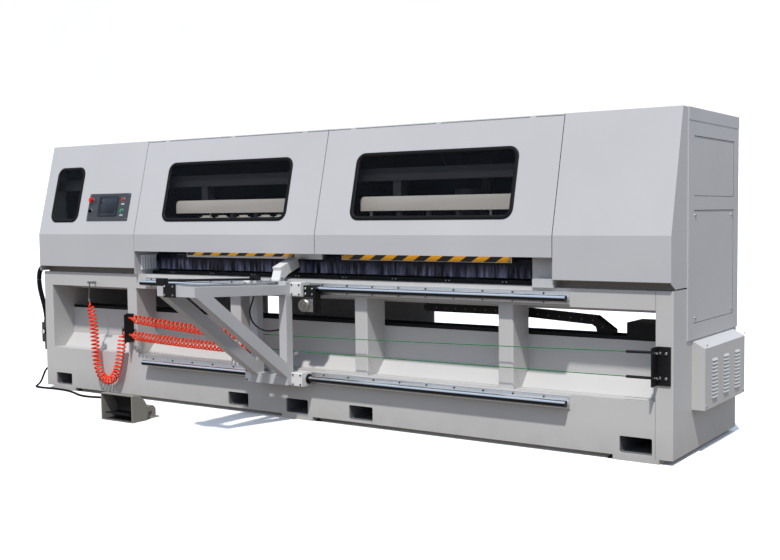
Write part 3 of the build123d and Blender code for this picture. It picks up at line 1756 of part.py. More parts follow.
def pedal_body():
    """The guard hood over the lever, open towards the foot, and the switch box behind it on its flange."""
    hood = pedal_dome(pedal_side, 0)
    hood = fillet(hood.edges().filter_by(GeomType.CIRCLE), pedal_round)
    half = pedal_box_width / 2
    start = hood_back - pedal_box_start
    top, cut = pedal_box_height, pedal_box_chamfer
    outline = [(start, 0), (start, top), (box_back - cut, top), (box_back, top - cut), (box_back, 0)]
    box = prism(pedal_x - half, pedal_x + half, outline)
    recess_y = hood_back + pedal_box_start
    recess_x = pedal_x + half
    recess_top = pedal_recess_foot + pedal_recess_height
    ends = (recess_y, recess_y + pedal_recess_length)
    box -= block(recess_x - pedal_recess, recess_x, *ends, pedal_recess_foot, recess_top)
    wide = half + pedal_flange / 2
    flange_end = box_back + pedal_flange
    flange = block(pedal_x - wide, pedal_x + wide, hood_back, flange_end, 0, pedal_flange_thick)
    return hood + box + flange - pedal_dome(pedal_room, pedal_wall)


def lever_rod(half, radius):
    return rod((pedal_x - half, lever_y, lever_z), (pedal_x + half, lever_y, lever_z), radius)


def pedal_lever():
    """The foot plate, hinged low at the back of the guard."""
    half = lever_width / 2
    tip = pedal_y + lever_front_gap
    low = lever_z - lever_thick / 2
    tip_low = lever_tip_height - lever_thick / 2
    outline = [(tip, tip_low), (tip, tip_low + lever_thick), (lever_y, low + lever_thick), (lever_y, low)]
    foot_plate = prism(pedal_x - half, pedal_x + half, outline)
    return foot_plate + lever_rod(half, lever_eye_radius) - lever_rod(half, lever_pin_radius + running_fit)


lever_pin = lever_rod(pedal_room, lever_pin_radius)
pedal_shell = pedal_body()
pedal_gland = gland(cable_route, True, gland_radius) - pedal_shell
save("pedal_housing", pedal_shell, lever_pin, pedal_gland)
save("pedal_lever", pedal_lever())
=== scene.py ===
# %% [markdown]
# # Dressing a sash milling machine
# The machine's solids come ready made: a long welded base, a sloped hood with two lift-up doors, and a
# support carriage on two round rails. This lesson adds what solids alone can't give: the finishes, the
# hoses and ropes, and the small hardware. Everything is in metres, in the solids' own frame.

# %% Load the frame
import json
import math

import bmesh
import bpy
from mathutils import Matrix, Vector


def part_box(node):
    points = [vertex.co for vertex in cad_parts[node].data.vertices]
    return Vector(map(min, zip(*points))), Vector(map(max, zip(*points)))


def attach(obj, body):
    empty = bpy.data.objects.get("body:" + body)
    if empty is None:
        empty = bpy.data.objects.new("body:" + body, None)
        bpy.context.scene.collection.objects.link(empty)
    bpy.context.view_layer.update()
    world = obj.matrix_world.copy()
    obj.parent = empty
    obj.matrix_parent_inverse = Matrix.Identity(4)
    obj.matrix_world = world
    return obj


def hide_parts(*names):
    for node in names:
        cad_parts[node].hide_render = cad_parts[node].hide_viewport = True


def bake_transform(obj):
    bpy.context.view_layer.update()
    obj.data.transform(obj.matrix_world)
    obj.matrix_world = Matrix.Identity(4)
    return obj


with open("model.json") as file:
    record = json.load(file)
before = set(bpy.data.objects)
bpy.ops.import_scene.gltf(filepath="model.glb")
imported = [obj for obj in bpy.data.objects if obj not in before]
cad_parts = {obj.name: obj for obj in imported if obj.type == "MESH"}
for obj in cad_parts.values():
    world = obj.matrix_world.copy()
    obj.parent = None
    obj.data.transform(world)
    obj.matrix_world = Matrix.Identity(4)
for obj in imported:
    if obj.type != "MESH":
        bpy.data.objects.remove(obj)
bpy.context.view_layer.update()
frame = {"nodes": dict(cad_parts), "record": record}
cad_nodes = frame["nodes"]

# %% [markdown]
# ## The camera
# The machine was photographed from its right front at chest height, with a long-ish lens. A camera could
# be aimed with a Track To constraint, but here the viewing angles are known, so three plain rotations
# place it: turn it about Z, tip it up from looking straight down, and roll it by a fraction of a degree.

# %% Place the camera
camera_place = Vector((4.573605, -6.126713, 1.378974))
camera_turn = math.radians(34.3375)
camera_tip = math.radians(90 - 3.5569)
camera_roll = math.radians(-0.64975)
lens_mm = 49.603
sensor_mm = 36
farthest_sight = 1000

lens = bpy.data.cameras.new("camera")
lens.lens = lens_mm
lens.sensor_width = sensor_mm
lens.clip_end = farthest_sight
camera = bpy.data.objects.new("camera", lens)
bpy.context.collection.objects.link(camera)
turns = Matrix.Rotation(camera_turn, 4, "Z") @ Matrix.Rotation(camera_tip, 4, "X")
camera.matrix_world = Matrix.Translation(camera_place) @ turns @ Matrix.Rotation(camera_roll, 4, "Z")
bpy.context.scene.camera = camera
print("camera at", camera.location[:], "lens", lens.lens)

# %% [markdown]
# ## Lines for the cords
# Hoses, ropes and cables all start as one smooth line. A poly curve would show its corners, and a Bezier
# needs handles that have to be tuned by hand. A NURBS spline of order 3 needs only a handful of control
# points, cuts gently inside them and still starts and ends exactly where it should.

# %% Make a smooth line from a few points
def smooth_line(name, points, radius=0.0):
    data = bpy.data.curves.new(name, "CURVE")
    data.dimensions = "3D"
    data.resolution_u = 8
    data.bevel_depth = 1 if radius else 0
    data.bevel_resolution = 3
    data.use_fill_caps = True
    spline = data.splines.new("NURBS")
    spline.points.add(len(points) - 1)
    for knot, place in zip(spline.points, points):
        knot.co = (*place, 1)
        knot.radius = radius
    spline.order_u = 3
    spline.use_endpoint_u = True
    curve = bpy.data.objects.new(name, data)
    bpy.context.collection.objects.link(curve)
    return curve


print("a smooth line starts and ends on its first and last point")

# %% [markdown]
# A curve knows its shape, but not where a share of its length lies. Blender can turn it into a mesh of
# closely spaced points. Walking along them gives the length, and the place and direction at any share.

# %% Measure a line
def points_on(name, points):
    """Closely spaced points along the smooth line through these control points."""
    guide = smooth_line(name, points)
    mesh = bpy.data.meshes.new_from_object(guide)
    spots = [vertex.co.copy() for vertex in mesh.vertices]
    bpy.data.objects.remove(guide)
    bpy.data.meshes.remove(mesh)
    return spots


def length_of(spots):
    return sum((b - a).length for a, b in zip(spots, spots[1:]))


def spot_at(spots, share):
    """The place and the direction at a share of a line's length."""
    left = share * length_of(spots)
    for a, b in zip(spots, spots[1:]):
        step = (b - a).length
        if left <= step and step > 0:
            return a.lerp(b, left / step), (b - a).normalized()
        left -= step
    return spots[-1].copy(), (spots[-1] - spots[-2]).normalized()


print("lines can be measured")

# %% [markdown]
# ## Hanging loop
# At the left an air hose hangs in a deep loop, in one plane in front of the base. Its line is given by points
# in that plane. Gravity alone would give an even curve, but a curly hose hangs a little crooked, so the
# points are listed one by one.

# %% Hang the loop's line
hose_plane = -0.62
loop_points = [
    (-1.988, 0.712), (-1.970, 0.640), (-1.952, 0.560), (-1.944, 0.470), (-1.937, 0.370),
    (-1.928, 0.275), (-1.901, 0.190), (-1.845, 0.132), (-1.780, 0.128), (-1.724, 0.170),
    (-1.686, 0.250), (-1.662, 0.335), (-1.640, 0.425), (-1.628, 0.505),
]
loop_line = points_on("loop", [(x, hose_plane, z) for x, z in loop_points])
print("hanging loop's line", round(length_of(loop_line), 3), "m")

# %% [markdown]
# ## Curly air hoses
# Orange polyurethane hoses bring air to the carriage. One hangs in a loop, two are stretched along ropes.
# A Screw modifier makes a straight spring only, so the curls are worked out point by point: each point
# sits on a circle that travels along the hose's line. The circle opens up at the ends, so that the tube
# leaves its fitting in line with it.

# %% Wind the curls
hose_radius = 0.006
curl_radius = 0.028
points_per_curl = 16
ramp_curls = 1.5


def curl_points(spots, curls):
    steps = round(curls * points_per_curl)
    across = Vector((0, 1, 0))
    first, first_way = spot_at(spots, 0)
    found = [first - first_way * 2 * hose_radius]
    for step in range(steps + 1):
        turn = curls * step / steps
        place, way = spot_at(spots, step / steps)
        opening = min(1, turn / ramp_curls, (curls - turn) / ramp_curls)
        reach = curl_radius * opening**2 * (3 - 2 * opening)
        angle = math.tau * (turn - ramp_curls / 2)
        side = across.cross(way)
        found.append(place + side * reach * math.cos(angle) + across * reach * math.sin(angle))
    last, last_way = spot_at(spots, 1)
    return found + [last + last_way * 2 * hose_radius]


loop_curls = 36.5
loop_curl_points = curl_points(loop_line, loop_curls)
loop_hose = smooth_line("hanging_hose", loop_curl_points, hose_radius)
loop_hose.data.resolution_u = 3
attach(loop_hose, "frame")
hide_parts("loop_hose")
loop_length = length_of(points_on("loop_path", loop_curl_points))
print("hanging hose", round(loop_length, 3), "m of tube in", loop_curls, "curls")

# %% [markdown]
# The two stretched hoses run from the base to the carriage. On the machine they grow longer and shorter as it
# travels; here each is one fixed mesh.

# %% Stretch two hoses between the base and the carriage
stretched_hoses = {
    "upper": ([(-1.540, hose_plane, 0.618), (-1.0, hose_plane, 0.570), (-0.2766, hose_plane, 0.543)], 29.5),
    "lower": ([(-1.540, hose_plane, 0.492), (-1.1, hose_plane, 0.462), (-0.2766, hose_plane, 0.452)], 33.5),
}
curly_hoses = [loop_hose]
for which, (points, curls) in stretched_hoses.items():
    winding = curl_points(points_on(which, points), curls)
    pattern = smooth_line(f"{which}_pattern", winding, hose_radius)
    pattern.data.resolution_u = 2
    hose = bpy.data.objects.new(f"{which}_stretched_hose", bpy.data.meshes.new_from_object(pattern))
    bpy.data.objects.remove(pattern)
    bpy.context.collection.objects.link(hose)
    hose_path = points_on(f"{which}_path", winding)
    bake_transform(hose)
    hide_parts(f"{which}_hose")
    curly_hoses.append(hose)
    print(which, "hose path", round(length_of(hose_path), 3), "m")

# %% [markdown]
# ## Guide ropes
# Two green ropes carry the stretched hoses from bracket to bracket. They are drawn tight and sag only a
# little. A long thin cylinder would be dead straight, so each rope is a curve through four points, and its
# bevel gives it its thickness.

# %% Run the ropes
rope_radius = 0.0025
rope_routes = {
    "upper": [(-1.568, 0.634), (-1.0, 0.584), (-0.2, 0.557), (2.36, 0.616)],
    "lower": [(-1.568, 0.508), (-1.1, 0.476), (-0.2, 0.466), (2.36, 0.480)],
}
ropes = []
for which, route in rope_routes.items():
    points = [(x, hose_plane, z) for x, z in route]
    rope = smooth_line(f"{which}_guide_rope", points, rope_radius)
    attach(rope, "frame")
    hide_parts(f"{which}_rope")
    ropes.append(rope)
print("ropes", [rope.name for rope in ropes])

# %% [markdown]
# ## Pedal cable
# A black rubber cable leaves the left end of the base, drops to the floor and lies there in loose bends until
# it reaches the foot pedal. A simulated rope would find bends of its own, but they would change with every
# setting. Points on the floor, a cable's radius above it, keep the bends where they belong.

# %% Lay the pedal's cable on the floor
cable_radius = 0.008
floor_height = 0.0083
cable_exit_y = -0.5
cable_points = [
    (-2.622, cable_exit_y, 0.159), (-2.660, cable_exit_y, 0.157), (-2.694, cable_exit_y - 0.003, 0.132),
    (-2.716, cable_exit_y - 0.010, 0.084), (-2.729, cable_exit_y - 0.024, 0.034),
]
cable_on_floor = [
    (-2.730, -0.062), (-2.700, -0.098), (-2.648, -0.114), (-2.575, -0.112),
    (-2.450, -0.096), (-2.290, -0.106), (-2.163, -0.150), (-2.050, -0.200),
    (-1.950, -0.218), (-1.865, -0.204), (-1.760, -0.172), (-1.640, -0.184),
    (-1.500, -0.236), (-1.370, -0.306), (-1.250, -0.342), (-1.140, -0.370),
]
cable_points += [(x, cable_exit_y + y, floor_height) for x, y in cable_on_floor]
cable_points += [(-1.058, -0.872, floor_height + 0.003), (-1.0, -0.915, 0.028), (-1.0, -0.978, 0.030)]
pedal_cable = smooth_line("pedal_lead", cable_points, cable_radius)
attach(pedal_cable, "frame")
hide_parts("pedal_cable")
print("pedal cable", len(cable_points), "points")

# %% [markdown]
# ## Rings and skins
# Round things that aren't plain tubes are built from rings of points, with faces stretched between them like
# a skin. Primitive cylinders would have to be joined and cut. Corners sharper than a set angle stay crisp,
# and everything flatter is shaded smooth.

# %% Stretch a skin over rings
sharp_from = math.radians(40)


def ring(mesh, centre, way, radius, steps):
    """A ring of points square to a direction."""
    turn = way.to_track_quat("Z", "Y").to_matrix()
    angles = [math.tau * step / steps for step in range(steps)]
    around = [Vector((radius * math.cos(angle), radius * math.sin(angle), 0)) for angle in angles]
    return [mesh.verts.new(centre + turn @ spot) for spot in around]


def skin(mesh, rings, hollow=False):
    """Faces between rings. A hollow shape joins its last ring to its first; any other has closed ends."""
    for low, high in zip(rings, rings[1:] + rings[:1] * hollow):
        for index in range(len(low)):
            after = (index + 1) % len(low)
            mesh.faces.new((low[index], low[after], high[after], high[index])).smooth = True
    if not hollow:
        mesh.faces.new(rings[0][::-1])
        mesh.faces.new(rings[-1])


def new_piece(name, mesh):
    """An object from a finished mesh, with its faces turned outwards and its corners kept sharp."""
    data = bpy.data.meshes.new(name)
    bmesh.ops.recalc_face_normals(mesh, faces=mesh.faces)
    mesh.to_mesh(data)
    mesh.free()
    data.set_sharp_from_angle(angle=sharp_from)
    made = bpy.data.objects.new(name, data)
    bpy.context.collection.objects.link(made)
    return made


print("corners stay sharp from", round(math.degrees(sharp_from)), "degrees")

# %% [markdown]
# ## Corrugated conduit
# The conduit on the left end is corrugated, so that it bends without kinking. A bevelled curve has one radius
# all along, so its skin is built as rings of points whose radius rises and falls every few millimetres.

# %% Ring the corrugated conduit
conduit_radius = 0.020
conduit_groove = 0.0026
conduit_pitch = 0.009
conduit_plane = -0.516
conduit_sides = 24
rings_per_pitch = 4
conduit_points = [
    (-2.622, 0.980), (-2.664, 0.980), (-2.702, 0.958), (-2.722, 0.912), (-2.724, 0.846), (-2.707, 0.768),
    (-2.676, 0.690), (-2.652, 0.614), (-2.644, 0.550),
]
conduit_line = points_on("conduit", [(x, conduit_plane, z) for x, z in conduit_points])
ring_count = round(length_of(conduit_line) / conduit_pitch) * rings_per_pitch
conduit_mesh = bmesh.new()
conduit_rings = []
for step in range(ring_count + 1):
    place, way = spot_at(conduit_line, step / ring_count)
    dip = conduit_groove if step % rings_per_pitch in (1, 2) else 0
    conduit_rings.append(ring(conduit_mesh, place, way, conduit_radius - dip, conduit_sides))
skin(conduit_mesh, conduit_rings)
conduit = new_piece("corrugated_conduit", conduit_mesh)
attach(conduit, "frame")
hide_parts("side_conduit")
print("conduit rings", ring_count)

# %% [markdown]
# ## Short hose
# A short black hose hangs between two fittings of the carriage. Both of its ends ride along, so it keeps its
# shape as the carriage travels. It needs no blend, and one bevelled curve on the carriage's body does.

# %% Hang the short hose on the carriage
air_hose_points = [
    (-0.210, -0.738, 0.8436), (-0.212, -0.742, 0.814), (-0.226, -0.754, 0.770), (-0.230, -0.760, 0.722),
    (-0.214, -0.760, 0.676), (-0.180, -0.756, 0.640), (-0.134, -0.746, 0.616), (-0.088, -0.730, 0.608),
    (-0.050, -0.710, 0.614), (-0.0147, -0.700, 0.618),
]
air_hose_line = points_on("air", air_hose_points)
air_hose_radius = 0.005
air_hose = smooth_line("carriage_air_hose", air_hose_points, air_hose_radius)
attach(air_hose, "support_carriage")
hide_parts("carriage_hose")
print("carriage hose", round(length_of(air_hose_line), 3), "m")

# %% [markdown]
# ## Finishes
# Nearly everything here is painted sheet steel. Paint is never one flat colour: it has faint clouds, a skin
# like orange peel and a gloss that comes and goes. Picture textures would need files and unwrapped pieces.
# Noise in each piece's own coordinates needs neither, and its scale stays in metres on every piece.

# %% Start a finish and give it noise
def shade(red, green, blue):
    """A colour as a paint card gives it, in the linear light that shaders use."""
    return tuple((part / 255) ** 2.2 for part in (red, green, blue))


def new_finish(name, settings):
    finish = bpy.data.materials.new(name)
    finish.use_nodes = True
    shader = finish.node_tree.nodes["Principled BSDF"]
    for socket, value in settings.items():
        shader.inputs[socket].default_value = value
    return finish


def plug(finish, socket, output):
    shader = finish.node_tree.nodes["Principled BSDF"]
    finish.node_tree.links.new(output, shader.inputs[socket])


def noise_on(finish, scale, stretch=(1, 1, 1), detail=3.0):
    """Noise that is fixed to the piece. The scale counts its features in a metre."""
    tree = finish.node_tree
    place = tree.nodes.new("ShaderNodeTexCoord")
    stretched = tree.nodes.new("ShaderNodeMapping")
    stretched.inputs["Scale"].default_value = stretch
    noise = tree.nodes.new("ShaderNodeTexNoise")
    noise.inputs["Scale"].default_value = scale
    noise.inputs["Detail"].default_value = detail
    tree.links.new(place.outputs["Object"], stretched.inputs["Vector"])
    tree.links.new(stretched.outputs["Vector"], noise.inputs["Vector"])
    return noise.outputs["Fac"]


finishes = {}
print("noise counts its features in a metre")

# %% [markdown]
# Noise is only a number from 0 to 1, and it mostly stays near the middle. A colour ramp turns it into shades,
# a map range into any two limits, as for the gloss, and a bump node into dents.

# %% Turn noise into colours, gloss and dents
usual_low, usual_high = 0.3, 0.7


def colours_from(finish, value, dark, light, start=0.35, stop=0.65):
    ramp = finish.node_tree.nodes.new("ShaderNodeValToRGB")
    first, last = ramp.color_ramp.elements
    first.position, first.color = start, (*dark, 1)
    last.position, last.color = stop, (*light, 1)
    finish.node_tree.links.new(value, ramp.inputs["Fac"])
    return ramp.outputs["Color"]


def map_range(finish, value, start, stop, low, high):
    """Numbers that go from low to high while a value goes from start to stop."""
    limits = finish.node_tree.nodes.new("ShaderNodeMapRange")
    for socket, number in (("From Min", start), ("From Max", stop), ("To Min", low), ("To Max", high)):
        limits.inputs[socket].default_value = number
    finish.node_tree.links.new(value, limits.inputs["Value"])
    return limits.outputs["Result"]


def numbers_from(finish, noise, low, high):
    return map_range(finish, noise, usual_low, usual_high, low, high)


def dents_from(finish, value, depth):
    bump = finish.node_tree.nodes.new("ShaderNodeBump")
    bump.inputs["Distance"].default_value = depth
    finish.node_tree.links.new(value, bump.inputs["Height"])
    return bump.outputs["Normal"]


def darker(colour, share):
    return tuple(part * share for part in colour)


print("helpers for finishes are ready")

# %% [markdown]
# ### Paint
# The hood and base are powder coated in a light grey. Three noises do the work: a wide one for the clouds in
# the colour, a middle one for the gloss, and a fine one for the peel, which only tilts the surface.

# %% Mix the paints
cloud_scale, gloss_scale, peel_scale = 1.4, 6, 380


def paint(name, colour, gloss=(0.36, 0.48), peel=0.00008):
    finish = new_finish(name, {"Coat Weight": 0.12, "Coat Roughness": 0.25})
    clouds = noise_on(finish, cloud_scale)
    plug(finish, "Base Color", colours_from(finish, clouds, darker(colour, 0.95), colour))
    plug(finish, "Roughness", numbers_from(finish, noise_on(finish, gloss_scale), *gloss))
    plug(finish, "Normal", dents_from(finish, noise_on(finish, peel_scale, detail=1), peel))
    finishes[name] = finish
    return finish


paint("light_paint", shade(180, 180, 182))
paint("white_paint", shade(208, 208, 207))
paint("cream_paint", shade(240, 233, 224))
paint("dark_paint", shade(58, 60, 64), gloss=(0.42, 0.55))
paint("cast_grey", shade(134, 131, 124), gloss=(0.5, 0.66), peel=0.0005)
# The fork pockets' darker grey is painted shade inside them.
paint("pocket_painted_shade", shade(104, 105, 108), gloss=(0.5, 0.66))
print("paints", sorted(finishes))

# %% [markdown]
# The base stands on a workshop floor, so dust gathers low down. The height of each point comes from its own
# coordinates, noise breaks up the line, and the product mixes a warmer, duller grey into the paint.

# %% Dust the foot of the base
dust_most, dust_scale = 0.55, 9


def axis_of(finish, output, axis):
    """One axis of the piece's own coordinates or of its normals."""
    tree = finish.node_tree
    place = tree.nodes.new("ShaderNodeTexCoord")
    axes = tree.nodes.new("ShaderNodeSeparateXYZ")
    tree.links.new(place.outputs[output], axes.inputs["Vector"])
    return axes.outputs[axis]


def math_on(finish, operation, first, second):
    """A sum, product or comparison of an output with a number or with another output."""
    made = finish.node_tree.nodes.new("ShaderNodeMath")
    made.operation = operation
    finish.node_tree.links.new(first, made.inputs[0])
    if isinstance(second, (int, float)):
        made.inputs[1].default_value = second
    else:
        finish.node_tree.links.new(second, made.inputs[1])
    return made.outputs["Value"]


def lay_over(finish, share, colour):
    """Mix a colour over the finish's own, by a share."""
    tree = finish.node_tree
    under = tree.nodes["Principled BSDF"].inputs["Base Color"].links[0].from_socket
    blend = tree.nodes.new("ShaderNodeMix")
    blend.data_type = "RGBA"
    blend.inputs["B"].default_value = (*colour, 1)
    tree.links.new(share, blend.inputs["Factor"])
    tree.links.new(under, blend.inputs["A"])
    plug(finish, "Base Color", blend.outputs["Result"])


def dusty_paint(name, colour, dust, reach):
    finish = paint(name, colour)
    low_down = map_range(finish, axis_of(finish, "Object", "Z"), 0, reach, dust_most, 0)
    patches = noise_on(finish, dust_scale, detail=6)
    lay_over(finish, math_on(finish, "MULTIPLY", low_down, patches), dust)


dusty_paint("base_paint", shade(183, 182, 181), shade(138, 131, 121), reach=0.2)
print("base paint has", len(finishes["base_paint"].node_tree.nodes), "nodes")

# %% [markdown]
# Inside the throat the upright cheeks are as light as the hood. The plinths at both ends lie under the hood's
# overhang and are painted a darker brown grey, as painted shade. They are one solid, so the paint itself
# changes with the distance from the throat's middle.

# %% Paint shade on the throat's plinths
throat_paint = paint("throat_paint", shade(180, 180, 182))
throat_middle, throat_half = 0.198, 1.711
from_middle = math_on(throat_paint, "SUBTRACT", axis_of(throat_paint, "Object", "X"), throat_middle)
distance_squared = math_on(throat_paint, "POWER", from_middle, 2)
plinth_shade = math_on(throat_paint, "GREATER_THAN", distance_squared, throat_half**2)
# The darker brown grey on the plinths is painted shade from the hood's overhang.
lay_over(throat_paint, plinth_shade, shade(140, 134, 128))
print("throat changes tone at", throat_middle - throat_half, "and", throat_middle + throat_half)

# %% [markdown]
# The foot pedal's hood is cast. Its inside is painted a dark brown grey, as painted shade where the hood's
# roof
# and cheeks keep the light out. Inside and outside are one solid, so the paint asks three things of each
# point:
# does it lie between the cheeks, is it in front of the back, and does its surface face inwards?

# %% Paint shade inside the pedal's hood
pedal_grey = paint("pedal_grey", shade(134, 131, 124), gloss=(0.5, 0.66), peel=0.0005)
pedal_low, pedal_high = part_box("pedal_housing")
pedal_middle = (pedal_low.x + pedal_high.x) / 2
half_room, hood_depth, rim_depth, roof_height = 0.146, 0.145, 0.003, 0.09
most_outward, least_upward = 0.3, 0.1
along_x, along_y, along_z = (axis_of(pedal_grey, "Object", axis) for axis in "XYZ")
from_cheeks = math_on(pedal_grey, "POWER", math_on(pedal_grey, "SUBTRACT", along_x, pedal_middle), 2)
pedal_shade_mask = math_on(pedal_grey, "LESS_THAN", from_cheeks, half_room**2)
looks_up = math_on(pedal_grey, "GREATER_THAN", axis_of(pedal_grey, "Normal", "Z"), least_upward)
high_up = math_on(pedal_grey, "GREATER_THAN", along_z, roof_height)
tests = [
    ("GREATER_THAN", along_y, pedal_low.y + rim_depth),
    ("LESS_THAN", along_y, pedal_low.y + hood_depth),
    ("LESS_THAN", axis_of(pedal_grey, "Normal", "X"), most_outward),
    ("LESS_THAN", axis_of(pedal_grey, "Normal", "Y"), most_outward),
    ("LESS_THAN", math_on(pedal_grey, "MULTIPLY", looks_up, high_up), 0.5),
]
for operation, value, limit in tests:
    pedal_shade_mask = math_on(pedal_grey, "MULTIPLY", pedal_shade_mask, math_on(pedal_grey, operation, value, limit))
# Painted shade on the inside of the pedal's hood.
lay_over(pedal_grey, pedal_shade_mask, shade(58, 55, 52))
print("pedal paint has", len(pedal_grey.node_tree.nodes), "nodes")

# %% [markdown]
# ### Metals
# Ground and drawn metal is streaked along the way it was worked. The noise is stretched: few features along
# X, many across it, so the streaks run along the rails. It moves both the gloss and the colour a little.
# Cast and turned fittings have no such grain, so their noise is the same all ways.

# %% Grind the metals
along_rails, all_ways = (2, 160, 160), (300, 300, 300)
scratch_depth = 0.00003


def metal(name, colour, gloss, streaks=along_rails, metallic=1.0):
    finish = new_finish(name, {"Metallic": metallic})
    grain = noise_on(finish, 1, stretch=streaks, detail=4)
    plug(finish, "Base Color", colours_from(finish, grain, darker(colour, 0.86), colour))
    plug(finish, "Roughness", numbers_from(finish, grain, *gloss))
    plug(finish, "Normal", dents_from(finish, grain, scratch_depth))
    finishes[name] = finish
    return finish


metal("chromed_shaft", shade(226, 229, 233), (0.08, 0.18))
metal("bright_steel", shade(196, 198, 200), (0.22, 0.36), streaks=(40, 220, 220))
metal("aluminium", shade(226, 228, 230), (0.36, 0.5))
metal("fittings_metal", shade(188, 186, 180), (0.2, 0.34), streaks=all_ways)
metal("black_oxide", shade(34, 34, 36), (0.4, 0.56), streaks=(60, 60, 60), metallic=0.5)
metal("dull_brass", shade(104, 98, 80), (0.4, 0.55), streaks=all_ways)
print("finishes so far", len(finishes))

# %% [markdown]
# The rails' aluminium feet stay bright above the shafts. Below them they are painted a darker brown, as
# painted shade under the shafts. The air fittings at the left end are duller than the rest. Faces could be
# picked by hand for a second material, but a finish that asks where each point lies needs no picking.

# %% Paint shade under the rail shafts and dull the air unit
rail_foot = metal("rail_foot", shade(226, 228, 230), (0.36, 0.5))
upper_shaft_foot, between_rails, lower_shaft_foot = 0.853, 0.7, 0.258
height = axis_of(rail_foot, "Object", "Z")
below_upper_shaft = math_on(rail_foot, "LESS_THAN", height, upper_shaft_foot)
on_upper_rail = math_on(rail_foot, "GREATER_THAN", height, between_rails)
below_lower_shaft = math_on(rail_foot, "LESS_THAN", height, lower_shaft_foot)
upper_rail_shade = math_on(rail_foot, "MULTIPLY", below_upper_shaft, on_upper_rail)
# Painted shade on the feet below both shafts.
lay_over(rail_foot, math_on(rail_foot, "ADD", upper_rail_shade, below_lower_shaft), shade(158, 150, 143))

air_metal = metal("air_metal", shade(150, 151, 152), (0.16, 0.3), streaks=all_ways)
left_end = -2.4
at_left_end = math_on(air_metal, "LESS_THAN", axis_of(air_metal, "Object", "X"), left_end)
lay_over(air_metal, at_left_end, shade(112, 114, 104))
print("rail feet dull below", upper_shaft_foot, "and", lower_shaft_foot)

# %% [markdown]
# A polished round shaft mirrors the bright ceiling in its top and the dark workshop in a band below. In a
# white studio there is nothing dark to mirror, so the band is painted on by the way each part of the surface
# faces.

# %% Polish the shafts
rail_chrome = new_finish("rail_chrome", {"Metallic": 1.0})
facing = math_on(rail_chrome, "MULTIPLY_ADD", axis_of(rail_chrome, "Normal", "Z"), 0.5)
facing.node.inputs[2].default_value = 0.5
band = colours_from(rail_chrome, facing, shade(150, 152, 154), shade(250, 250, 250), 0.08, 0.86)
band_stops = {0.20: (70, 70, 70), 0.50: (46, 46, 46), 0.60: (92, 93, 94), 0.68: (214, 215, 216)}
for position, colour in band_stops.items():
    band.node.color_ramp.elements.new(position).color = (*shade(*colour), 1)
plug(rail_chrome, "Base Color", band)
polish = noise_on(rail_chrome, 1, stretch=along_rails)
plug(rail_chrome, "Roughness", numbers_from(rail_chrome, polish, 0.12, 0.24))
finishes["rail_chrome"] = rail_chrome
print("shaft band has", len(band.node.color_ramp.elements), "stops")

# %% [markdown]
# ### Plastics, rubber and hose
# Moulded plastic has a fine even grain. Polyurethane hose is glossier, and a little light goes into it, so it
# gets some subsurface scattering. Rubber is dark and dull, with a dusty bloom. The ropes are green, but black
# near their left bracket, so their finish changes along X.

# %% Mould the plastics
tint_scale, sheen_scale = 30, 24


def plastic(name, colour, gloss, grain=900, depth=0.00004, settings=None):
    finish = new_finish(name, {"Specular IOR Level": 0.2, **(settings or {})})
    tint = noise_on(finish, tint_scale)
    plug(finish, "Base Color", colours_from(finish, tint, darker(colour, 0.88), colour))
    plug(finish, "Roughness", numbers_from(finish, noise_on(finish, sheen_scale), *gloss))
    plug(finish, "Normal", dents_from(finish, noise_on(finish, grain, detail=1), depth))
    finishes[name] = finish
    return finish


plastic("black_plastic", shade(27, 27, 29), (0.38, 0.5))
plastic("red_plastic", shade(206, 28, 24), (0.22, 0.32))
plastic("green_plastic", shade(24, 156, 96), (0.22, 0.32))
plastic("black_rubber", shade(18, 18, 20), (0.5, 0.7), grain=500, depth=0.0001)
hose_gloss = {"Subsurface Weight": 0.15, "Subsurface Radius": (0.004, 0.001, 0.0005), "Coat Weight": 0.3}
plastic("orange_hose", shade(244, 66, 28), (0.2, 0.32), grain=300, settings=hose_gloss)
green_rope = plastic("green_rope", shade(18, 120, 62), (0.45, 0.6), grain=700, depth=0.0006)
black_until = -1.46
by_the_bracket = math_on(green_rope, "LESS_THAN", axis_of(green_rope, "Object", "X"), black_until)
lay_over(green_rope, by_the_bracket, shade(24, 24, 26))
print("plastics ready")

# %% [markdown]
# ### Glass and film
# The windows are tinted, so the beams inside show but the rest stays dark. A pane with partly covering alpha
# gives that with few samples, where refraction would be noisy. The touch screen is a dark pane that covers
# all, and the strips by the light cheek are painted pale, as painted light from the wall behind them.

# %% Tint the glazing
def clear_sheet(name, dark, light, cover, gloss, stretch, scale):
    finish = new_finish(name, {"Alpha": cover, "Specular IOR Level": 0.25})
    finish.surface_render_method = "BLENDED"
    smears = noise_on(finish, scale, stretch=stretch, detail=5)
    plug(finish, "Base Color", colours_from(finish, smears, dark, light))
    plug(finish, "Roughness", numbers_from(finish, smears, *gloss))
    finishes[name] = finish
    return finish


even, downwards = (1, 1, 1), (1, 1, 0.08)
clear_sheet("tinted_glazing", shade(8, 9, 12), shade(16, 18, 23), 0.22, (0.02, 0.07), even, 5)
# The side strips' pale colour is painted light from the cheek behind them.
clear_sheet("film_painted_light", shade(222, 228, 240), shade(252, 253, 255), 0.9, (0.12, 0.3), downwards, 70)
clear_sheet("screen_glass", shade(38, 42, 48), shade(50, 55, 62), 1.0, (0.06, 0.14), even, 12)
print("glazing ready")

# %% [markdown]
# The curtain's strips are clear film gone grey, with scratches that run down them. Near their foot they catch
# the light from below in pale streaks. The streaks are one more noise, drawn out downwards, which fades out
# above the foot.

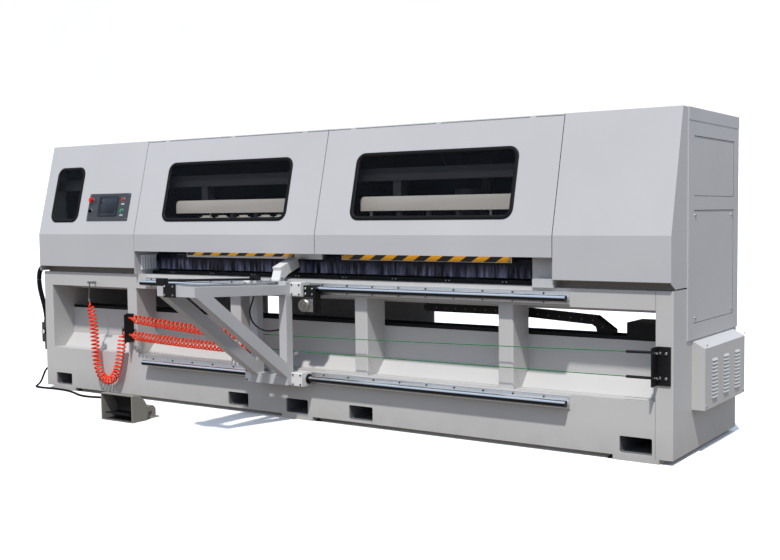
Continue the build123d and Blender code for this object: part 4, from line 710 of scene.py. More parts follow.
# %% Streak the curtain
curtain = clear_sheet("curtain_film", shade(5, 5, 14), shade(34, 35, 60), 0.92, (0.2, 0.4), downwards, 36)
streak_foot, streak_top, streak_scale = 0.98, 1.065, 42
near_foot = map_range(curtain, axis_of(curtain, "Object", "Z"), streak_foot, streak_top, 1.0, 0)
streaks = numbers_from(curtain, noise_on(curtain, streak_scale, stretch=(1, 1, 0.12)), -0.35, 1)
lay_over(curtain, math_on(curtain, "MULTIPLY", near_foot, streaks), shade(168, 172, 208))
print("finishes", len(finishes))

# %% [markdown]
# ### Dressing the solids
# Each solid says in the frame's record which finish it takes, so one loop dresses them all. A few have a look
# of their own: the fork pockets, the throat, the shafts and the rails' feet, the pedal's hood and the air
# fittings.

# %% Dress the solids
own_looks = {
    "fork_pockets": "pocket_painted_shade",
    "throat_frame": "throat_paint",
    "rail_shafts": "rail_chrome",
    "rail_supports": "rail_foot",
    "pedal_housing": "pedal_grey",
    "air_fittings": "air_metal",
}
for row in frame["record"]["subparts"]:
    solid = cad_nodes[row["node"]]
    if not solid.material_slots:
        solid.data.materials.append(None)
    for place in solid.material_slots:
        place.material = finishes[own_looks.get(row["node"], row["material_slot"])]
for hose in curly_hoses:
    hose.data.materials.append(finishes["orange_hose"])
for rope in ropes:
    rope.data.materials.append(finishes["green_rope"])
for lead in (pedal_cable, conduit, air_hose):
    lead.data.materials.append(finishes["black_rubber"])

# %% [markdown]
# ## Small hardware
# Screws, seals and plates are built as meshes in code, because a scaled cube or cylinder has no edges that
# catch the light. Two shapes cover most of them: a block with its edges rounded, and a turned shape, whose
# outline is swung around an axis as on a lathe.

# %% Blocks and turned shapes
def soft_block(mesh, low, high, edge):
    """A block between two corners, with its edges rounded."""
    low, high = Vector(low), Vector(high)
    size = Matrix.Diagonal((*(high - low), 1))
    made = bmesh.ops.create_cube(mesh, size=1, matrix=Matrix.Translation((low + high) / 2) @ size)
    edges = {line for corner in made["verts"] for line in corner.link_edges}
    bmesh.ops.bevel(mesh, geom=list(edges), offset=edge, segments=2, profile=0.5, affect="EDGES")


def turned(mesh, place, way, outline, steps=16, hollow=False):
    """A shape swung around an axis: the outline gives a radius at each height."""
    place, way = Vector(place), Vector(way)
    skin(mesh, [ring(mesh, place + way * height, way, radius, steps) for radius, height in outline], hollow)


def put(name, mesh, body, finish):
    """A finished piece on a body, with one finish."""
    made = new_piece(name, mesh)
    made.data.materials.append(finishes[finish])
    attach(made, body)
    return made


def cap_screw(mesh, place, way, radius):
    """A socket head screw: a short cylinder with a broken edge and a hole in its top."""
    outline = [(1, 0), (1, 0.9), (0.86, 1.05), (0.54, 1.05), (0.48, 0.5)]
    turned(mesh, place, way, [(radius * wide, radius * high) for wide, high in outline], 12)


to_front, to_back = Vector((0, -1, 0)), Vector((0, 1, 0))
to_right, upward = Vector((1, 0, 0)), Vector((0, 0, 1))
base_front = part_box("base_front_plate")[0].y
print("base front at", round(base_front, 3))

# %% [markdown]
# ## Window seals
# A black rubber seal holds each pane. It follows a rounded rectangle on the sloped sheet. A curve with a
# bevel profile would do on flat ground, but the slope would have to be built into its rotation. Here the
# points are placed straight on the slope: along X, up the slope, and out from it.

# %% Find the slope
hood_low, hood_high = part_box("hood_panels")
slope_setback, slope_rise = 0.1775, 0.697
crease = Vector((0, hood_low.y, hood_high.z - slope_rise))
slope_up = Vector((0, slope_setback, slope_rise)).normalized()
slope_out = Vector((0, -slope_rise, slope_setback)).normalized()


def on_slope(x, up, out):
    return crease + to_right * x + slope_up * up + slope_out * out


def rounded_loop(width, height, corner, steps=8):
    """Points around a rounded rectangle about its middle."""
    spots = []
    for quarter, (side, end) in enumerate(((1, 1), (-1, 1), (-1, -1), (1, -1))):
        for step in range(steps + 1):
            angle = math.pi / 2 * (quarter + step / steps)
            across = side * (width / 2 - corner) + corner * math.cos(angle)
            spots.append((across, end * (height / 2 - corner) + corner * math.sin(angle)))
    return spots


def slope_loops(mesh, x, up, width, height, corner, section):
    """Rounded rectangles on the slope, each grown and raised as the section says."""
    loops = []
    for grow, out in section:
        spots = rounded_loop(width + 2 * grow, height + 2 * grow, corner + grow)
        loops.append([mesh.verts.new(on_slope(x + across, up + along, out)) for across, along in spots])
    return loops


print("slope leans", round(math.degrees(math.atan2(slope_setback, slope_rise)), 1), "degrees")

# %% [markdown]
# The seal is a soft lip around the pane. Its section is a handful of points. Each point becomes one rounded
# rectangle, grown or shrunk and raised off the sheet, and skinning them in a ring closes the lip.

# %% Press in the seals
window_up, window_height, window_corner = 0.318, 0.440, 0.065
seal_section = [(0.002, 0), (0.002, 0.003), (-0.003, 0.006), (-0.014, 0.0066), (-0.021, 0.0046), (-0.025, 0)]
for body, pane in (("left_door", "left_window"), ("right_door", "right_window"), ("frame", "hood_window")):
    low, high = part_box(pane)
    seal_mesh = bmesh.new()
    size = ((low.x + high.x) / 2, window_up, high.x - low.x, window_height, window_corner)
    skin(seal_mesh, slope_loops(seal_mesh, *size, seal_section), hollow=True)
    put(f"{pane}_seal", seal_mesh, body, "black_rubber")
    print(pane, "seal", round(high.x - low.x, 3), "m wide")

# %% [markdown]
# ## Stripes on the press bars
# Yellow and black stripes mark the bars that come down on the work. They could be separate slanted faces,
# but on real machines they are one printed tape, so a strip of tape gets a striped finish: the sum of two
# coordinates, cut into equal bands.

# %% Print the tape
stripe_pitch, stripe_lean, stripe_shift = 0.17, 1.6, 0.14
tape = new_finish("striped_tape", {"Coat Weight": 0.3})
tree = tape.node_tree
place = tree.nodes.new("ShaderNodeTexCoord")
lean = tree.nodes.new("ShaderNodeVectorMath")
lean.operation = "DOT_PRODUCT"
lean.inputs[1].default_value = (1 / stripe_pitch, 0, -stripe_lean / stripe_pitch)
tree.links.new(place.outputs["Object"], lean.inputs[0])
bands = tree.nodes.new("ShaderNodeMath")
bands.operation = "FRACT"
tree.links.new(math_on(tape, "ADD", lean.outputs["Value"], stripe_shift), bands.inputs[0])
stripes = colours_from(tape, bands.outputs["Value"], shade(24, 23, 22), shade(246, 170, 8), 0.49, 0.51)
plug(tape, "Base Color", stripes)
plug(tape, "Roughness", numbers_from(tape, noise_on(tape, 40), 0.3, 0.5))
plug(tape, "Normal", dents_from(tape, noise_on(tape, 90), 0.0002))
finishes["striped_tape"] = tape
print("tape has", len(tree.nodes), "nodes")

# %% [markdown]
# The tape is stuck to the front of each bar. A face in the same place as the bar's own would flicker, so each
# strip is a thin block that stands a little proud, and it rides the bar down.

# %% Stick the tape on the bars
tape_thick, tape_edge = 0.0008, 0.0003
tape_spans = {"left_press": (0.004, 1.027, 0.014, 0.050), "right_press": (0.004, 1.262, 0.002, 0.050)}
for body, (start, end, foot, top) in tape_spans.items():
    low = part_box(f"{body}_bar")[0]
    tape_mesh = bmesh.new()
    near, far = (low.x + start, low.y - tape_thick, low.z + foot), (low.x + end, low.y, low.z + top)
    soft_block(tape_mesh, near, far, tape_edge)
    strip = put(f"{body}_tape", tape_mesh, body, "striped_tape")
    print(strip.name, round(far[0] - near[0], 3), "m")

# %% [markdown]
# ## Side strips in the throat
# The curtain turns the corner at the left and hangs along the cheek, where the light wall behind it makes it
# look pale; that light is painted into the strips' colour. Each strip is a thin sheet that bows a little, so
# it is laid as a row of points across, and thickened by a second row behind it.

# %% Hang the side strips
cheek_x, strip_wide, strip_gap, strip_thick = -1.505, 0.025, 0.0015, 0.0015
strip_count, bow_steps, bow_depth, wall_gap, corner_gap = 6, 6, 0.003, 0.003, 0.006
curtain_low, curtain_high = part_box("strip_curtain")
strips = bmesh.new()
for index in range(strip_count):
    near = curtain_low.y - corner_gap - (index + 1) * (strip_wide + strip_gap)
    bow = []
    for step in range(bow_steps + 1):
        part = step / bow_steps
        bow.append((cheek_x + wall_gap + bow_depth * math.sin(math.pi * part), near + strip_wide * part))
    outline = bow + [(x + strip_thick, y) for x, y in reversed(bow)]
    ends = (curtain_low.z, curtain_high.z)
    skin(strips, [[strips.verts.new((x, y, z)) for x, y in outline] for z in ends])
put("side_strips", strips, "frame", "film_painted_light")
print("side strips", strip_count)

# %% [markdown]
# ## Covers and pads on the press beams
# Behind the dark glass the beams' pale covers are nearly all that shows. A cover is a thin plate with one
# round corner. Its outline is laid three times, the last one a little smaller, which breaks the front edge
# without a Bevel modifier.

# %% Cover the beams
beam_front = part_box("press_beams")[0].y
cover_thick, cover_corner, cover_edge = 0.008, 0.034, 0.0015


def beam_cover(mesh, x0, x1, z0, z1):
    """A plate with a round upper corner at its left end, on the front of a beam."""
    outline = [(x1, z0), (x1, z1)]
    for step in range(9):
        angle = math.pi / 2 * (1 + step / 8)
        outline.append((x0 + cover_corner * (1 + math.cos(angle)), z1 - cover_corner * (1 - math.sin(angle))))
    outline.append((x0, z0))
    middle_x, middle_z = (x0 + x1) / 2, (z0 + z1) / 2
    thin_x, thin_z = 1 - 2 * cover_edge / (x1 - x0), 1 - 2 * cover_edge / (z1 - z0)
    rings = []
    for out, wide, high in ((0, 1, 1), (cover_thick - cover_edge, 1, 1), (cover_thick, thin_x, thin_z)):
        spots = [(middle_x + (x - middle_x) * wide, middle_z + (z - middle_z) * high) for x, z in outline]
        rings.append([mesh.verts.new((x, beam_front - out, z)) for x, z in spots])
    skin(mesh, rings)


covers = bmesh.new()
cover_foot, cover_top = 1.394, 1.487
for x0, x1 in ((-1.240, 0.150), (0.446, 1.836)):
    beam_cover(covers, x0, x1, cover_foot, cover_top)
put("beam_covers", covers, "frame", "cream_paint")
print("covers 2, in front of", round(beam_front, 3))

# %% [markdown]
# A row of small pads hangs under the left beam, each on a dark stem. They are seen only through the glass, so
# three plain blocks stand for each one, and one loop sets all of them.

# %% Hang the pads
pads, stems = bmesh.new(), bmesh.new()
pad_places = (-0.935, -0.778, -0.575, -0.370, -0.230)
# Each part's mesh, half width, front, back, foot, top and edge
pad_parts = (
    (pads, 0.0585, 0.015, 0.001, 1.352, 1.366, 0.002),
    (pads, 0.036, 0.013, 0.001, 1.3655, 1.377, 0.002),
    (stems, 0.010, 0.006, 0, 1.3765, 1.396, 0.001),
)
for x in pad_places:
    for mesh, half, front, back, foot, top, edge in pad_parts:
        soft_block(mesh, (x - half, beam_front - front, foot), (x + half, beam_front - back, top), edge)
put("beam_pads", pads, "frame", "cream_paint")
put("pad_stems", stems, "frame", "black_oxide")
print("pads", len(pad_places))

# %% [markdown]
# ## Screws
# Rows of screws give the eye its scale on a machine of five metres. Each group is one mesh, because hundreds
# of separate screws would only make the scene slow to handle. The rails' feet have a row above the shaft and
# one below it.

# %% Screw down the rails
rail_low, rail_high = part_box("rail_supports")
rail_heights = (0.293, 0.888)
foot_thick, foot_screw_rise, rail_screw_pitch, rail_end_gap = 0.008, 0.0245, 0.2, 0.06
small_head, middle_head, large_head = 0.0055, 0.006, 0.008
rail_screws = bmesh.new()
count = int((rail_high.x - rail_low.x - 2 * rail_end_gap) / rail_screw_pitch)
for height in rail_heights:
    for rise in (-foot_screw_rise, foot_screw_rise):
        for index in range(count + 1):
            x = rail_low.x + rail_end_gap + index * rail_screw_pitch
            cap_screw(rail_screws, (x, base_front - foot_thick, height + rise), to_front, small_head)
put("rail_screws", rail_screws, "frame", "black_oxide")
print("rail screws", 4 * (count + 1))

# %% [markdown]
# The rope brackets are bolted to the front of the base with bigger, bright screws, and the right one has two
# more in its side. Their places are few and uneven, so they are simply listed.

# %% Screw down the rope brackets
bracket_screws = bmesh.new()
bracket_low, bracket_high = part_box("rope_brackets")
bracket_plate, side_inset, side_out = 0.008, 0.070, 0.034
for rise in (0.040, 0.175):
    z = bracket_low.z + rise
    for x in (-1.628, -1.596, 2.530, 2.565):
        cap_screw(bracket_screws, (x, base_front - bracket_plate, z), to_front, large_head)
    cap_screw(bracket_screws, (bracket_high.x - side_inset, base_front - side_out, z), to_right, large_head)
put("bracket_screws", bracket_screws, "frame", "bright_steel")
print("bracket screws 10")

# %% [markdown]
# On the carriage, four dark screws sit in the corners of each bearing block, four bright ones in the brake
# and four in the end of the linear axis. An Array modifier could repeat one screw, but two short loops place
# four in a square and keep the numbers in sight.

# %% Screw the carriage together
carriage_screws = bmesh.new()
block_low, block_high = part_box("bearing_blocks")
block_size, block_inset = 0.09, 0.014
block_corners = (block_inset, block_size - block_inset)
for x in (block_low.x, block_high.x - block_size):
    for z in (block_low.z, block_high.z - block_size):
        for across in block_corners:
            for rise in block_corners:
                cap_screw(carriage_screws, (x + across, block_low.y, z + rise), to_front, small_head)
put("carriage_screws", carriage_screws, "support_carriage", "black_oxide")

brake_screws = bmesh.new()
brake_low, brake_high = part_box("rail_brake")
brake_length, brake_height, brake_side, brake_end = 0.090, 0.076, 0.017, 0.02
brake_left, brake_right = brake_high.x - brake_length + brake_side, brake_high.x - brake_side
for x, radius in ((brake_left, large_head), (brake_right, middle_head)):
    for z in (brake_high.z - brake_height + brake_end, brake_high.z - brake_end):
        cap_screw(brake_screws, (x, brake_low.y, z), to_front, radius)
put("brake_screws", brake_screws, "support_carriage", "bright_steel")

axis_screws = bmesh.new()
axis_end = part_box("carriage_fittings")[0].y
for x in (-0.177, -0.108):
    for z in (0.903, 0.955):
        cap_screw(axis_screws, (x, axis_end, z), to_front, small_head)
put("axis_screws", axis_screws, "support_carriage", "bright_steel")
print("carriage screws 16, brake screws 4, axis screws 4")

# %% [markdown]
# The sheets at the ends and the back can be taken off for servicing. Their screws sit near the corners of the
# ends' lower covers, in rows along the back, and around the vent box at the right.

# %% Screw on the sheet metal
sheet_screws = bmesh.new()
ends_low, ends_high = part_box("hood_ends")
recess, cover_inset, end_head = 0.003, 0.03, 0.007
end_faces = ((-1, ends_low.x + recess), (1, ends_high.x - recess))
end_near, end_far = -0.261, 0.470
upper_cover, lower_cover = (1.455, 1.788), (0.746, 1.378)
for side, face in end_faces:
    for y in (end_near + cover_inset, end_far - cover_inset):
        for z in (lower_cover[0] + cover_inset, lower_cover[1] - cover_inset):
            cap_screw(sheet_screws, (face, y, z), to_right * side, end_head)
rear_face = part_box("base_ends")[1].y
panel_third = 1.7333
for middle in (-panel_third, 0, panel_third):
    for offset in (-0.8, -0.4, 0, 0.4, 0.8):
        for z in (0.975, 1.84):
            cap_screw(sheet_screws, (middle + offset, rear_face, z), to_back, middle_head)
vent_face = 2.676
for y in (-0.238, 0.465):
    for z in (0.284, 0.627):
        cap_screw(sheet_screws, (vent_face, y, z), to_right, small_head)
put("sheet_screws", sheet_screws, "frame", "bright_steel")
print("sheet screws", 8 + 30 + 4)

# %% [markdown]
# A narrow dark gap runs around each cover of the ends. Cutting it into the solid would need another boolean
# for a line that is three millimetres wide, so thin dark strips lie on the sheet instead.

# %% Mark the gaps around the end covers
cover_gaps = bmesh.new()
gap_wide, gap_thick, gap_sink, gap_edge = 0.003, 0.0006, 0.0002, 0.0002
for side, face in end_faces:
    x0, x1 = sorted((face - side * gap_sink, face + side * gap_thick))
    for z0, z1 in (upper_cover, lower_cover):
        for y in (end_near, end_far - gap_wide):
            soft_block(cover_gaps, (x0, y, z0), (x1, y + gap_wide, z1), gap_edge)
        for z in (z0, z1 - gap_wide):
            soft_block(cover_gaps, (x0, end_near, z), (x1, end_far, z + gap_wide), gap_edge)
put("cover_gaps", cover_gaps, "frame", "black_rubber")
print("gaps around 4 covers")

# %% [markdown]
# The table bar in front of the curtain is held by pairs of flat screws. Only their rim and the sunk middle
# show, so each is a disc with four rings of points.

# %% Screw down the table bar
bar_screws = bmesh.new()
bar_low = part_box("table_bar")[0]
pair_count, pair_pitch, pair_start, pair_gap, bar_rise = 8, 0.4, 0.2, 0.025, 0.013
flat_head = [(0.004, 0), (0.004, 0.0004), (0.002, 0.0004), (0.0018, 0.0001)]
for index in range(pair_count):
    for shift in (0, pair_gap):
        spot = (bar_low.x + pair_start + index * pair_pitch + shift, bar_low.y, bar_low.z + bar_rise)
        turned(bar_screws, spot, to_front, flat_head, 10)
put("bar_screws", bar_screws, "frame", "bright_steel")
print("bar screws", 2 * pair_count)

# %% [markdown]
# ## Control panel
# The panel's solids have the plate, the screen's frame, the collars and the buttons. The screen's glass is
# missing. It is a thin rounded plate on the slope, so it uses the same three directions as the seals.

# %% Glaze the screen
screen_x, screen_up, screen_out = -1.8315, 0.2205, 0.0104
screen_size = (0.169, 0.117, 0.002)
screen_section = [(0, screen_out), (0, screen_out + 0.0005), (-0.0004, screen_out + 0.0008)]
screen_mesh = bmesh.new()
skin(screen_mesh, slope_loops(screen_mesh, screen_x, screen_up, *screen_size, screen_section))
put("screen_pane", screen_mesh, "frame", "screen_glass")
print("screen", screen_size[:2])

# %% [markdown]
# Bright rings surround the collars, a blank plate sits under each of the two buttons at the right, and a
# screw holds each corner. A ring is a hollow turned shape, which gives its front edge a clean chamfer.

# %% Ring the buttons and screw on the panel
panel_x, panel_up, panel_width, panel_height, panel_out = -1.8285, 0.212, 0.453, 0.212, 0.005
button_columns, button_rows = (-2.019, -1.673), (0.181, 0.267)
plate_drop, plate_size = 0.033, (0.034, 0.013, 0.0015)
corner_inset, panel_head = 0.024, 0.004
rings, plates, corner_screws = bmesh.new(), bmesh.new(), bmesh.new()
plate_section = [(0, panel_out), (0, panel_out + 0.0006), (-0.0004, panel_out + 0.001)]
ring_outline = [(0.0161, 0), (0.0184, 0), (0.0184, 0.0022), (0.0174, 0.0034), (0.0161, 0.0034)]
for up in button_rows:
    for x in button_columns:
        turned(rings, on_slope(x, up, panel_out), slope_out, ring_outline, 32, hollow=True)
    skin(plates, slope_loops(plates, button_columns[1], up - plate_drop, *plate_size, plate_section))
for across in (-0.5, 0.5):
    x = panel_x + across * (panel_width - corner_inset)
    for along in (-0.5, 0.5):
        up = panel_up + along * (panel_height - corner_inset)
        cap_screw(corner_screws, on_slope(x, up, panel_out), slope_out, panel_head)
put("button_rings", rings, "frame", "chromed_shaft")
put("name_plates", plates, "frame", "aluminium")
put("panel_screws", corner_screws, "frame", "bright_steel")
print("panel has 4 rings, 2 blank plates, 4 screws")

# %% [markdown]
# ## Cable chain
# A plastic chain carries the milling unit's cables along the shelf. Its solid is one folded bar. The links
# are side plates with round ends, one every few centimetres, laid along the same fold: out along the upper
# run, around the bend and back. Every other plate stands a little further out, as they overlap.

# %% Link the chain
chain_start, chain_dip, chain_bend, chain_front, chain_back = 0.880, 1.500, 2.040, -0.300, -0.230
chain_floor, chain_crest, chain_height, link_height, link_pitch = 0.568, 0.799, 0.052, 0.048, 0.0714
upper_middle, lower_middle = chain_crest - chain_height / 2, chain_floor + chain_height / 2
chain_corners = [
    (chain_start, upper_middle), (chain_dip, upper_middle), (chain_bend, 0.741), (chain_bend + 0.065, 0.690),
    (chain_bend + 0.082, 0.640), (chain_bend + 0.080, lower_middle), (chain_start, lower_middle),
]
chain_line = [Vector((x, 0, z)) for x, z in chain_corners]


def side_plate(mesh, start, end, inner, outer):
    """A link's flat plate with round ends, between two faces."""
    along = (end - start).normalized()
    rise = along.cross(to_back)
    turns = [math.pi * step / 8 for step in range(9)]
    radius = link_height / 2
    outline = [end + radius * (along * math.sin(a) + rise * math.cos(a)) for a in turns]
    outline += [start - radius * (along * math.sin(a) + rise * math.cos(a)) for a in turns]
    skin(mesh, [[mesh.verts.new(spot + to_back * y) for spot in outline] for y in (inner, outer)])


links, pins = bmesh.new(), bmesh.new()
plate_prouds, plate_root, plate_sink, pin_out = (0.0024, 0.0012), 0.0004, 0.0002, 0.0028
pin_outline = [(0.006, 0), (0.006, 0.0012), (0.005, 0.002)]
link_count = int(length_of(chain_line) / link_pitch)
for index in range(link_count):
    start = spot_at(chain_line, index / link_count)[0]
    end = spot_at(chain_line, (index + 1) / link_count)[0]
    proud = plate_prouds[index % 2]
    side_plate(links, start, end, chain_front - proud - plate_root, chain_front + plate_sink)
    side_plate(links, start, end, chain_back - plate_sink, chain_back + proud + plate_root)
    turned(pins, end + to_back * (chain_front - pin_out), to_front, pin_outline, 12)
put("chain_links", links, "frame", "black_plastic")
put("chain_pins", pins, "frame", "dull_brass")
print("chain links", link_count)

# %% [markdown]
# ## Lining of the hood
# Dark waved sheets line the inside of the hood, so little shows behind the glass. Their near black is painted
# shade. Flat sheets would look like painted steel, so each lining is a grid of points pushed up and down in
# small waves, as foam is cut.

# %% Line the hood
# The lining's near black is painted shade inside the closed hood.
plastic("lining_painted_shade", shade(20, 20, 22), (0.8, 0.95), grain=200, depth=0.002)
foam_wave, foam_height, foam_step, foam_back = 0.09, 0.012, 0.03, 0.003


def foam_sheet(mesh, corner, along, across, out):
    """A sheet of waved foam from a corner, along two edges, on the side that out points to."""
    columns, rows = round(along.length / foam_step), round(across.length / foam_step)
    grid = []
    for row in range(rows + 1):
        line = []
        for column in range(columns + 1):
            wave = math.cos(math.tau * column * foam_step / foam_wave)
            wave *= math.cos(math.tau * row * foam_step / foam_wave)
            place = corner + along * (column / columns) + across * (row / rows)
            line.append(mesh.verts.new(place + out * (foam_height * (1 + wave) / 2 + foam_back)))
        grid.append(line)
    for low, high in zip(grid, grid[1:]):
        for index in range(columns):
            mesh.faces.new((low[index], low[index + 1], high[index + 1], high[index])).smooth = True


lining = bmesh.new()
back_y, front_y, roof_z, deck_z, end_x, left_x = 0.556, -0.33, 1.936, 0.950, 2.596, -2.55
lengthways, inwards, upwards = Vector((5.1, 0, 0)), Vector((0, 0.86, 0)), Vector((0, 0, 0.95))
foam_sheet(lining, Vector((left_x, back_y, deck_z)), lengthways, upwards, to_front)
foam_sheet(lining, Vector((left_x, front_y, roof_z)), lengthways, inwards, -upward)
for side in (-1, 1):
    foam_sheet(lining, Vector((side * end_x, front_y, deck_z)), inwards, upwards, -to_right * side)
foam = put("hood_shade_lining", lining, "frame", "lining_painted_shade")
print("lining points", len(foam.data.vertices))

# %% [markdown]
# ## Fittings on the carriage and the left end
# Each bearing block is closed by a black wiper ring around the shaft, which keeps chips out. A torus would be
# too round for a moulded ring, so its section is swung around the shaft, as on a lathe.

# %% Close the bearing blocks
wipers = bmesh.new()
wiper_outline = [(0.0203, 0), (0.033, 0), (0.033, 0.005), (0.030, 0.0065), (0.0203, 0.0065)]
shaft_y = -0.615
for x, way, heights in ((block_low.x, -to_right, rail_heights), (block_high.x, to_right, rail_heights[:1])):
    for height in heights:
        turned(wipers, (x, shaft_y, height), way, wiper_outline, 32, hollow=True)
put("shaft_wipers", wipers, "support_carriage", "black_rubber")
print("wipers 3")

# %% [markdown]
# The valve under the brake has a round stepped cap and a square body. They are one casting, so a turned shape
# and a block share one mesh. The short hose has a nipple at each end, which follows the hose's own direction.

# %% Turn the brake's valve and the hose's nipples
valve = bmesh.new()
valve_x, valve_z, valve_back, valve_depth, valve_radius = 0.155, 0.784, -0.6095, 0.047, 0.0424
cap = [(valve_radius, 0.012), (0.038, 0.016), (0.024, 0.016), (0.022, 0.012), (0.014, 0.012), (0.012, 0.019)]
valve_outline = [(valve_radius, 0)] + [(wide, valve_depth + out) for wide, out in cap]
turned(valve, (valve_x, valve_back, valve_z), to_front, valve_outline, 40)
body_out, body_half, body_inset, body_edge = 0.004, 0.0422, 0.0102, 0.002
near = (valve_x, valve_back - valve_depth - body_out, valve_z - body_half)
far = (brake_high.x - body_inset, valve_back, valve_z + body_half)
soft_block(valve, near, far, body_edge)
put("brake_valve", valve, "support_carriage", "fittings_metal")

nipples = bmesh.new()
nipple_outline = [(0.007, -0.013), (0.007, -0.004), (0.006, 0.002), (0.0054, 0.006)]
for share, side in ((0, 1), (1, -1)):
    place, way = spot_at(air_hose_line, share)
    turned(nipples, place, way * side, nipple_outline, 16)
put("hose_nipples", nipples, "support_carriage", "fittings_metal")
print("a brake valve and 2 nipples")

# %% [markdown]
# The air unit on the left end has a pressure gauge and a knob to set the pressure. The gauge's dial is a
# piece of its own inside the rim, because it is white where the rim is black.

# %% Turn the air unit's gauge and knob
gauge, dial, knob = bmesh.new(), bmesh.new(), bmesh.new()
gauge_place, dial_out, knob_place = Vector((-2.638, -0.540, 0.455)), 0.0155, (-2.638, -0.473, 0.528)
gauge_outline = [(0.024, 0), (0.024, 0.016), (0.022, 0.019), (0.019, 0.019), (0.019, 0.016)]
dial_outline = [(0.0188, 0), (0.0188, 0.001), (0.018, 0.0014)]
knob_outline = [(0.014, 0), (0.016, 0.003), (0.016, 0.022), (0.014, 0.026), (0.008, 0.0265)]
turned(gauge, gauge_place, to_front, gauge_outline, 32)
turned(dial, gauge_place + to_front * dial_out, to_front, dial_outline, 32)
turned(knob, knob_place, upward, knob_outline, 24)
put("air_gauge", gauge, "frame", "black_plastic")
put("air_gauge_dial", dial, "frame", "white_paint")
put("air_knob", knob, "frame", "black_plastic")
print("a gauge with its dial and a knob")

# %% [markdown]
# ## Pedal tread
# Rubber ribs keep a shoe from slipping off the pedal. They are separate blocks on the sloped foot plate and
# ride with it. The edge of the hood's floor is worn bright, which a thin steel strip shows better than a
# change in the paint.

# %% Rib the pedal
tread, lip = bmesh.new(), bmesh.new()
lever_low, lever_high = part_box("pedal_lever")
tip, heel = Vector((0, lever_low.y, lever_high.z)), Vector((0, -1.152, 0.0425))
rib_count, rib_start, rib_margin, rib_half, rib_sink, rib_rise = 6, 0.6, 0.02, 0.005, 0.004, 0.003
for index in range(rib_count):
    spot = tip.lerp(heel, (index + rib_start) / rib_count)
    near = (lever_low.x + rib_margin, spot.y - rib_half, spot.z - rib_sink)
    far = (lever_high.x - rib_margin, spot.y + rib_half, spot.z + rib_rise)
    soft_block(tread, near, far, 0.0015)
put("pedal_tread", tread, "pedal_lever", "black_rubber")

lip_margin, lip_out, lip_in, lip_foot, lip_top = 0.010, 0.002, 0.004, 0.001, 0.009
near = (pedal_low.x + lip_margin, pedal_low.y - lip_out, lip_foot)
far = (pedal_high.x - lip_margin, pedal_low.y + lip_in, lip_top)
soft_block(lip, near, far, 0.001)
put("pedal_lip", lip, "frame", "bright_steel")
print("tread ribs", rib_count, "and a bright lip")

# %% [markdown]
# ## Levelling feet
# A long machine is levelled on screw feet, which stand beside the sole plates. Each is a turned disc with a
# stem that reaches up to the underside of the base, so none of them stands loose.

# %% Set the feet
feet = bmesh.new()
foot_outline = [(0.022, 0), (0.022, 0.005), (0.019, 0.008), (0.009, 0.010), (0.009, 0.028)]
foot_inset = 0.03
for x in (-2.235, 0.160, 2.235):
    for y in (base_front + foot_inset, -base_front - foot_inset):
        turned(feet, (x, y, 0), upward, foot_outline, 20)
put("levelling_feet", feet, "frame", "black_oxide")
print("feet 6")

# %% [markdown]
# ## Light
# One key light stands high at the right front. The sloped sheets turn towards it and come out brightest, the
# upright ones less, the ends least. An area light would fade along five metres of machine, so it is a sun
# lamp, and a few degrees of angle soften the edges of its shadows.

# %% Hang the key light
key_way, key_distance = Vector((0.22, -0.48, 0.85)), 10
key_data = bpy.data.lights.new("key", "SUN")
key_data.energy = 3.75
key_data.angle = 0.045
key_data.color = (1, 0.965, 0.92)
key = bpy.data.objects.new("key", key_data)
key.location = key_way * key_distance
key.rotation_euler = key_way.to_track_quat("Z", "Y").to_euler()
bpy.context.collection.objects.link(key)
print("key light", key_data.energy)

# %% [markdown]
# A world that is pale above and brown below fills the shadows, as sky and ground would. One even grey would
# light the undersides as much as the tops. The colours run through a ramp by the height of each direction.

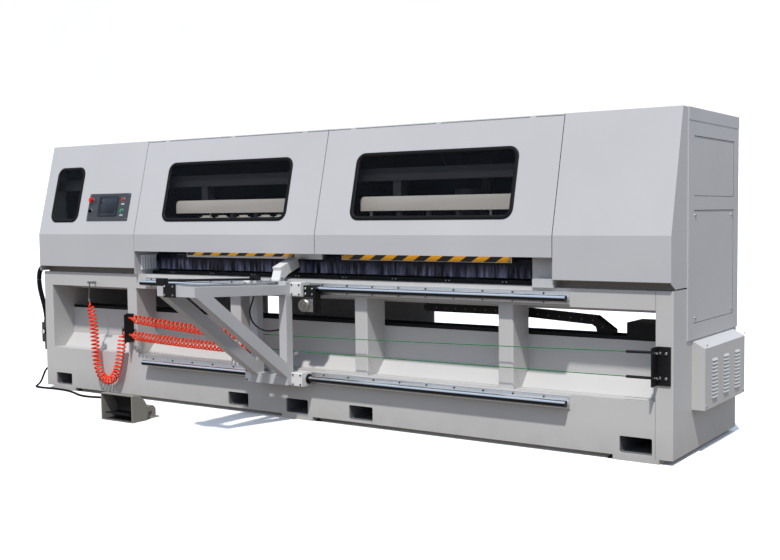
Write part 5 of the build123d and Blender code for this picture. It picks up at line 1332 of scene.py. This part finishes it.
# %% Colour the world
ground_colour, sky_colour, sky_from = (0.35, 0.325, 0.305, 1), (0.60, 0.71, 0.88, 1), 0.25
world = bpy.data.worlds.new("studio")
world.use_nodes = True
world_tree = world.node_tree
way = world_tree.nodes.new("ShaderNodeTexCoord")
way_axes = world_tree.nodes.new("ShaderNodeSeparateXYZ")
sky = world_tree.nodes.new("ShaderNodeValToRGB")
sky.color_ramp.elements[0].position, sky.color_ramp.elements[0].color = 0.0, ground_colour
sky.color_ramp.elements[1].position, sky.color_ramp.elements[1].color = sky_from, sky_colour
world_tree.links.new(way.outputs["Generated"], way_axes.inputs["Vector"])
world_tree.links.new(way_axes.outputs["Z"], sky.inputs["Fac"])
world_tree.links.new(sky.outputs["Color"], world_tree.nodes["Background"].inputs["Color"])
bpy.context.scene.world = world
bpy.context.scene.view_settings.view_transform = "Standard"
print("world has", len(world_tree.nodes), "nodes")

# %% [markdown]
# ## Floor
# The machine stands on a white studio sweep, a floor that curves up into a wall, so no edge shows behind it.
# The sweep is left out of the bounced light, because so much white would wash out the undersides.

# %% Roll out the sweep
sweep_reach, wall_start, wall_bend, wall_top, bend_steps = 400, 14, 4, 16, 8
sweep_mesh = bmesh.new()
sweep_lines = [(-sweep_reach, 0), (wall_start, 0)]
for step in range(1, bend_steps + 1):
    angle = math.pi / 2 * step / bend_steps
    sweep_lines.append((wall_start + wall_bend * math.sin(angle), wall_bend * (1 - math.cos(angle))))
sweep_lines.append((wall_start + wall_bend, wall_top))
sides = (-sweep_reach, sweep_reach)
sweep_rows = [[sweep_mesh.verts.new((x, y, z)) for x in sides] for y, z in sweep_lines]
for low, high in zip(sweep_rows, sweep_rows[1:]):
    sweep_mesh.faces.new((low[0], low[1], high[1], high[0])).smooth = True
sweep = new_piece("studio_sweep", sweep_mesh)
sweep.visible_diffuse = False
sweep.visible_glossy = False
sweep_finish = new_finish("studio_sweep", {"Specular IOR Level": 0.1})
clouds = noise_on(sweep_finish, 0.4)
plug(sweep_finish, "Base Color", colours_from(sweep_finish, clouds, (0.93, 0.93, 0.93), (0.97, 0.97, 0.97)))
plug(sweep_finish, "Roughness", numbers_from(sweep_finish, noise_on(sweep_finish, 3), 0.6, 0.8))
sweep.data.materials.append(sweep_finish)
print("sweep", 2 * sweep_reach, "m wide")
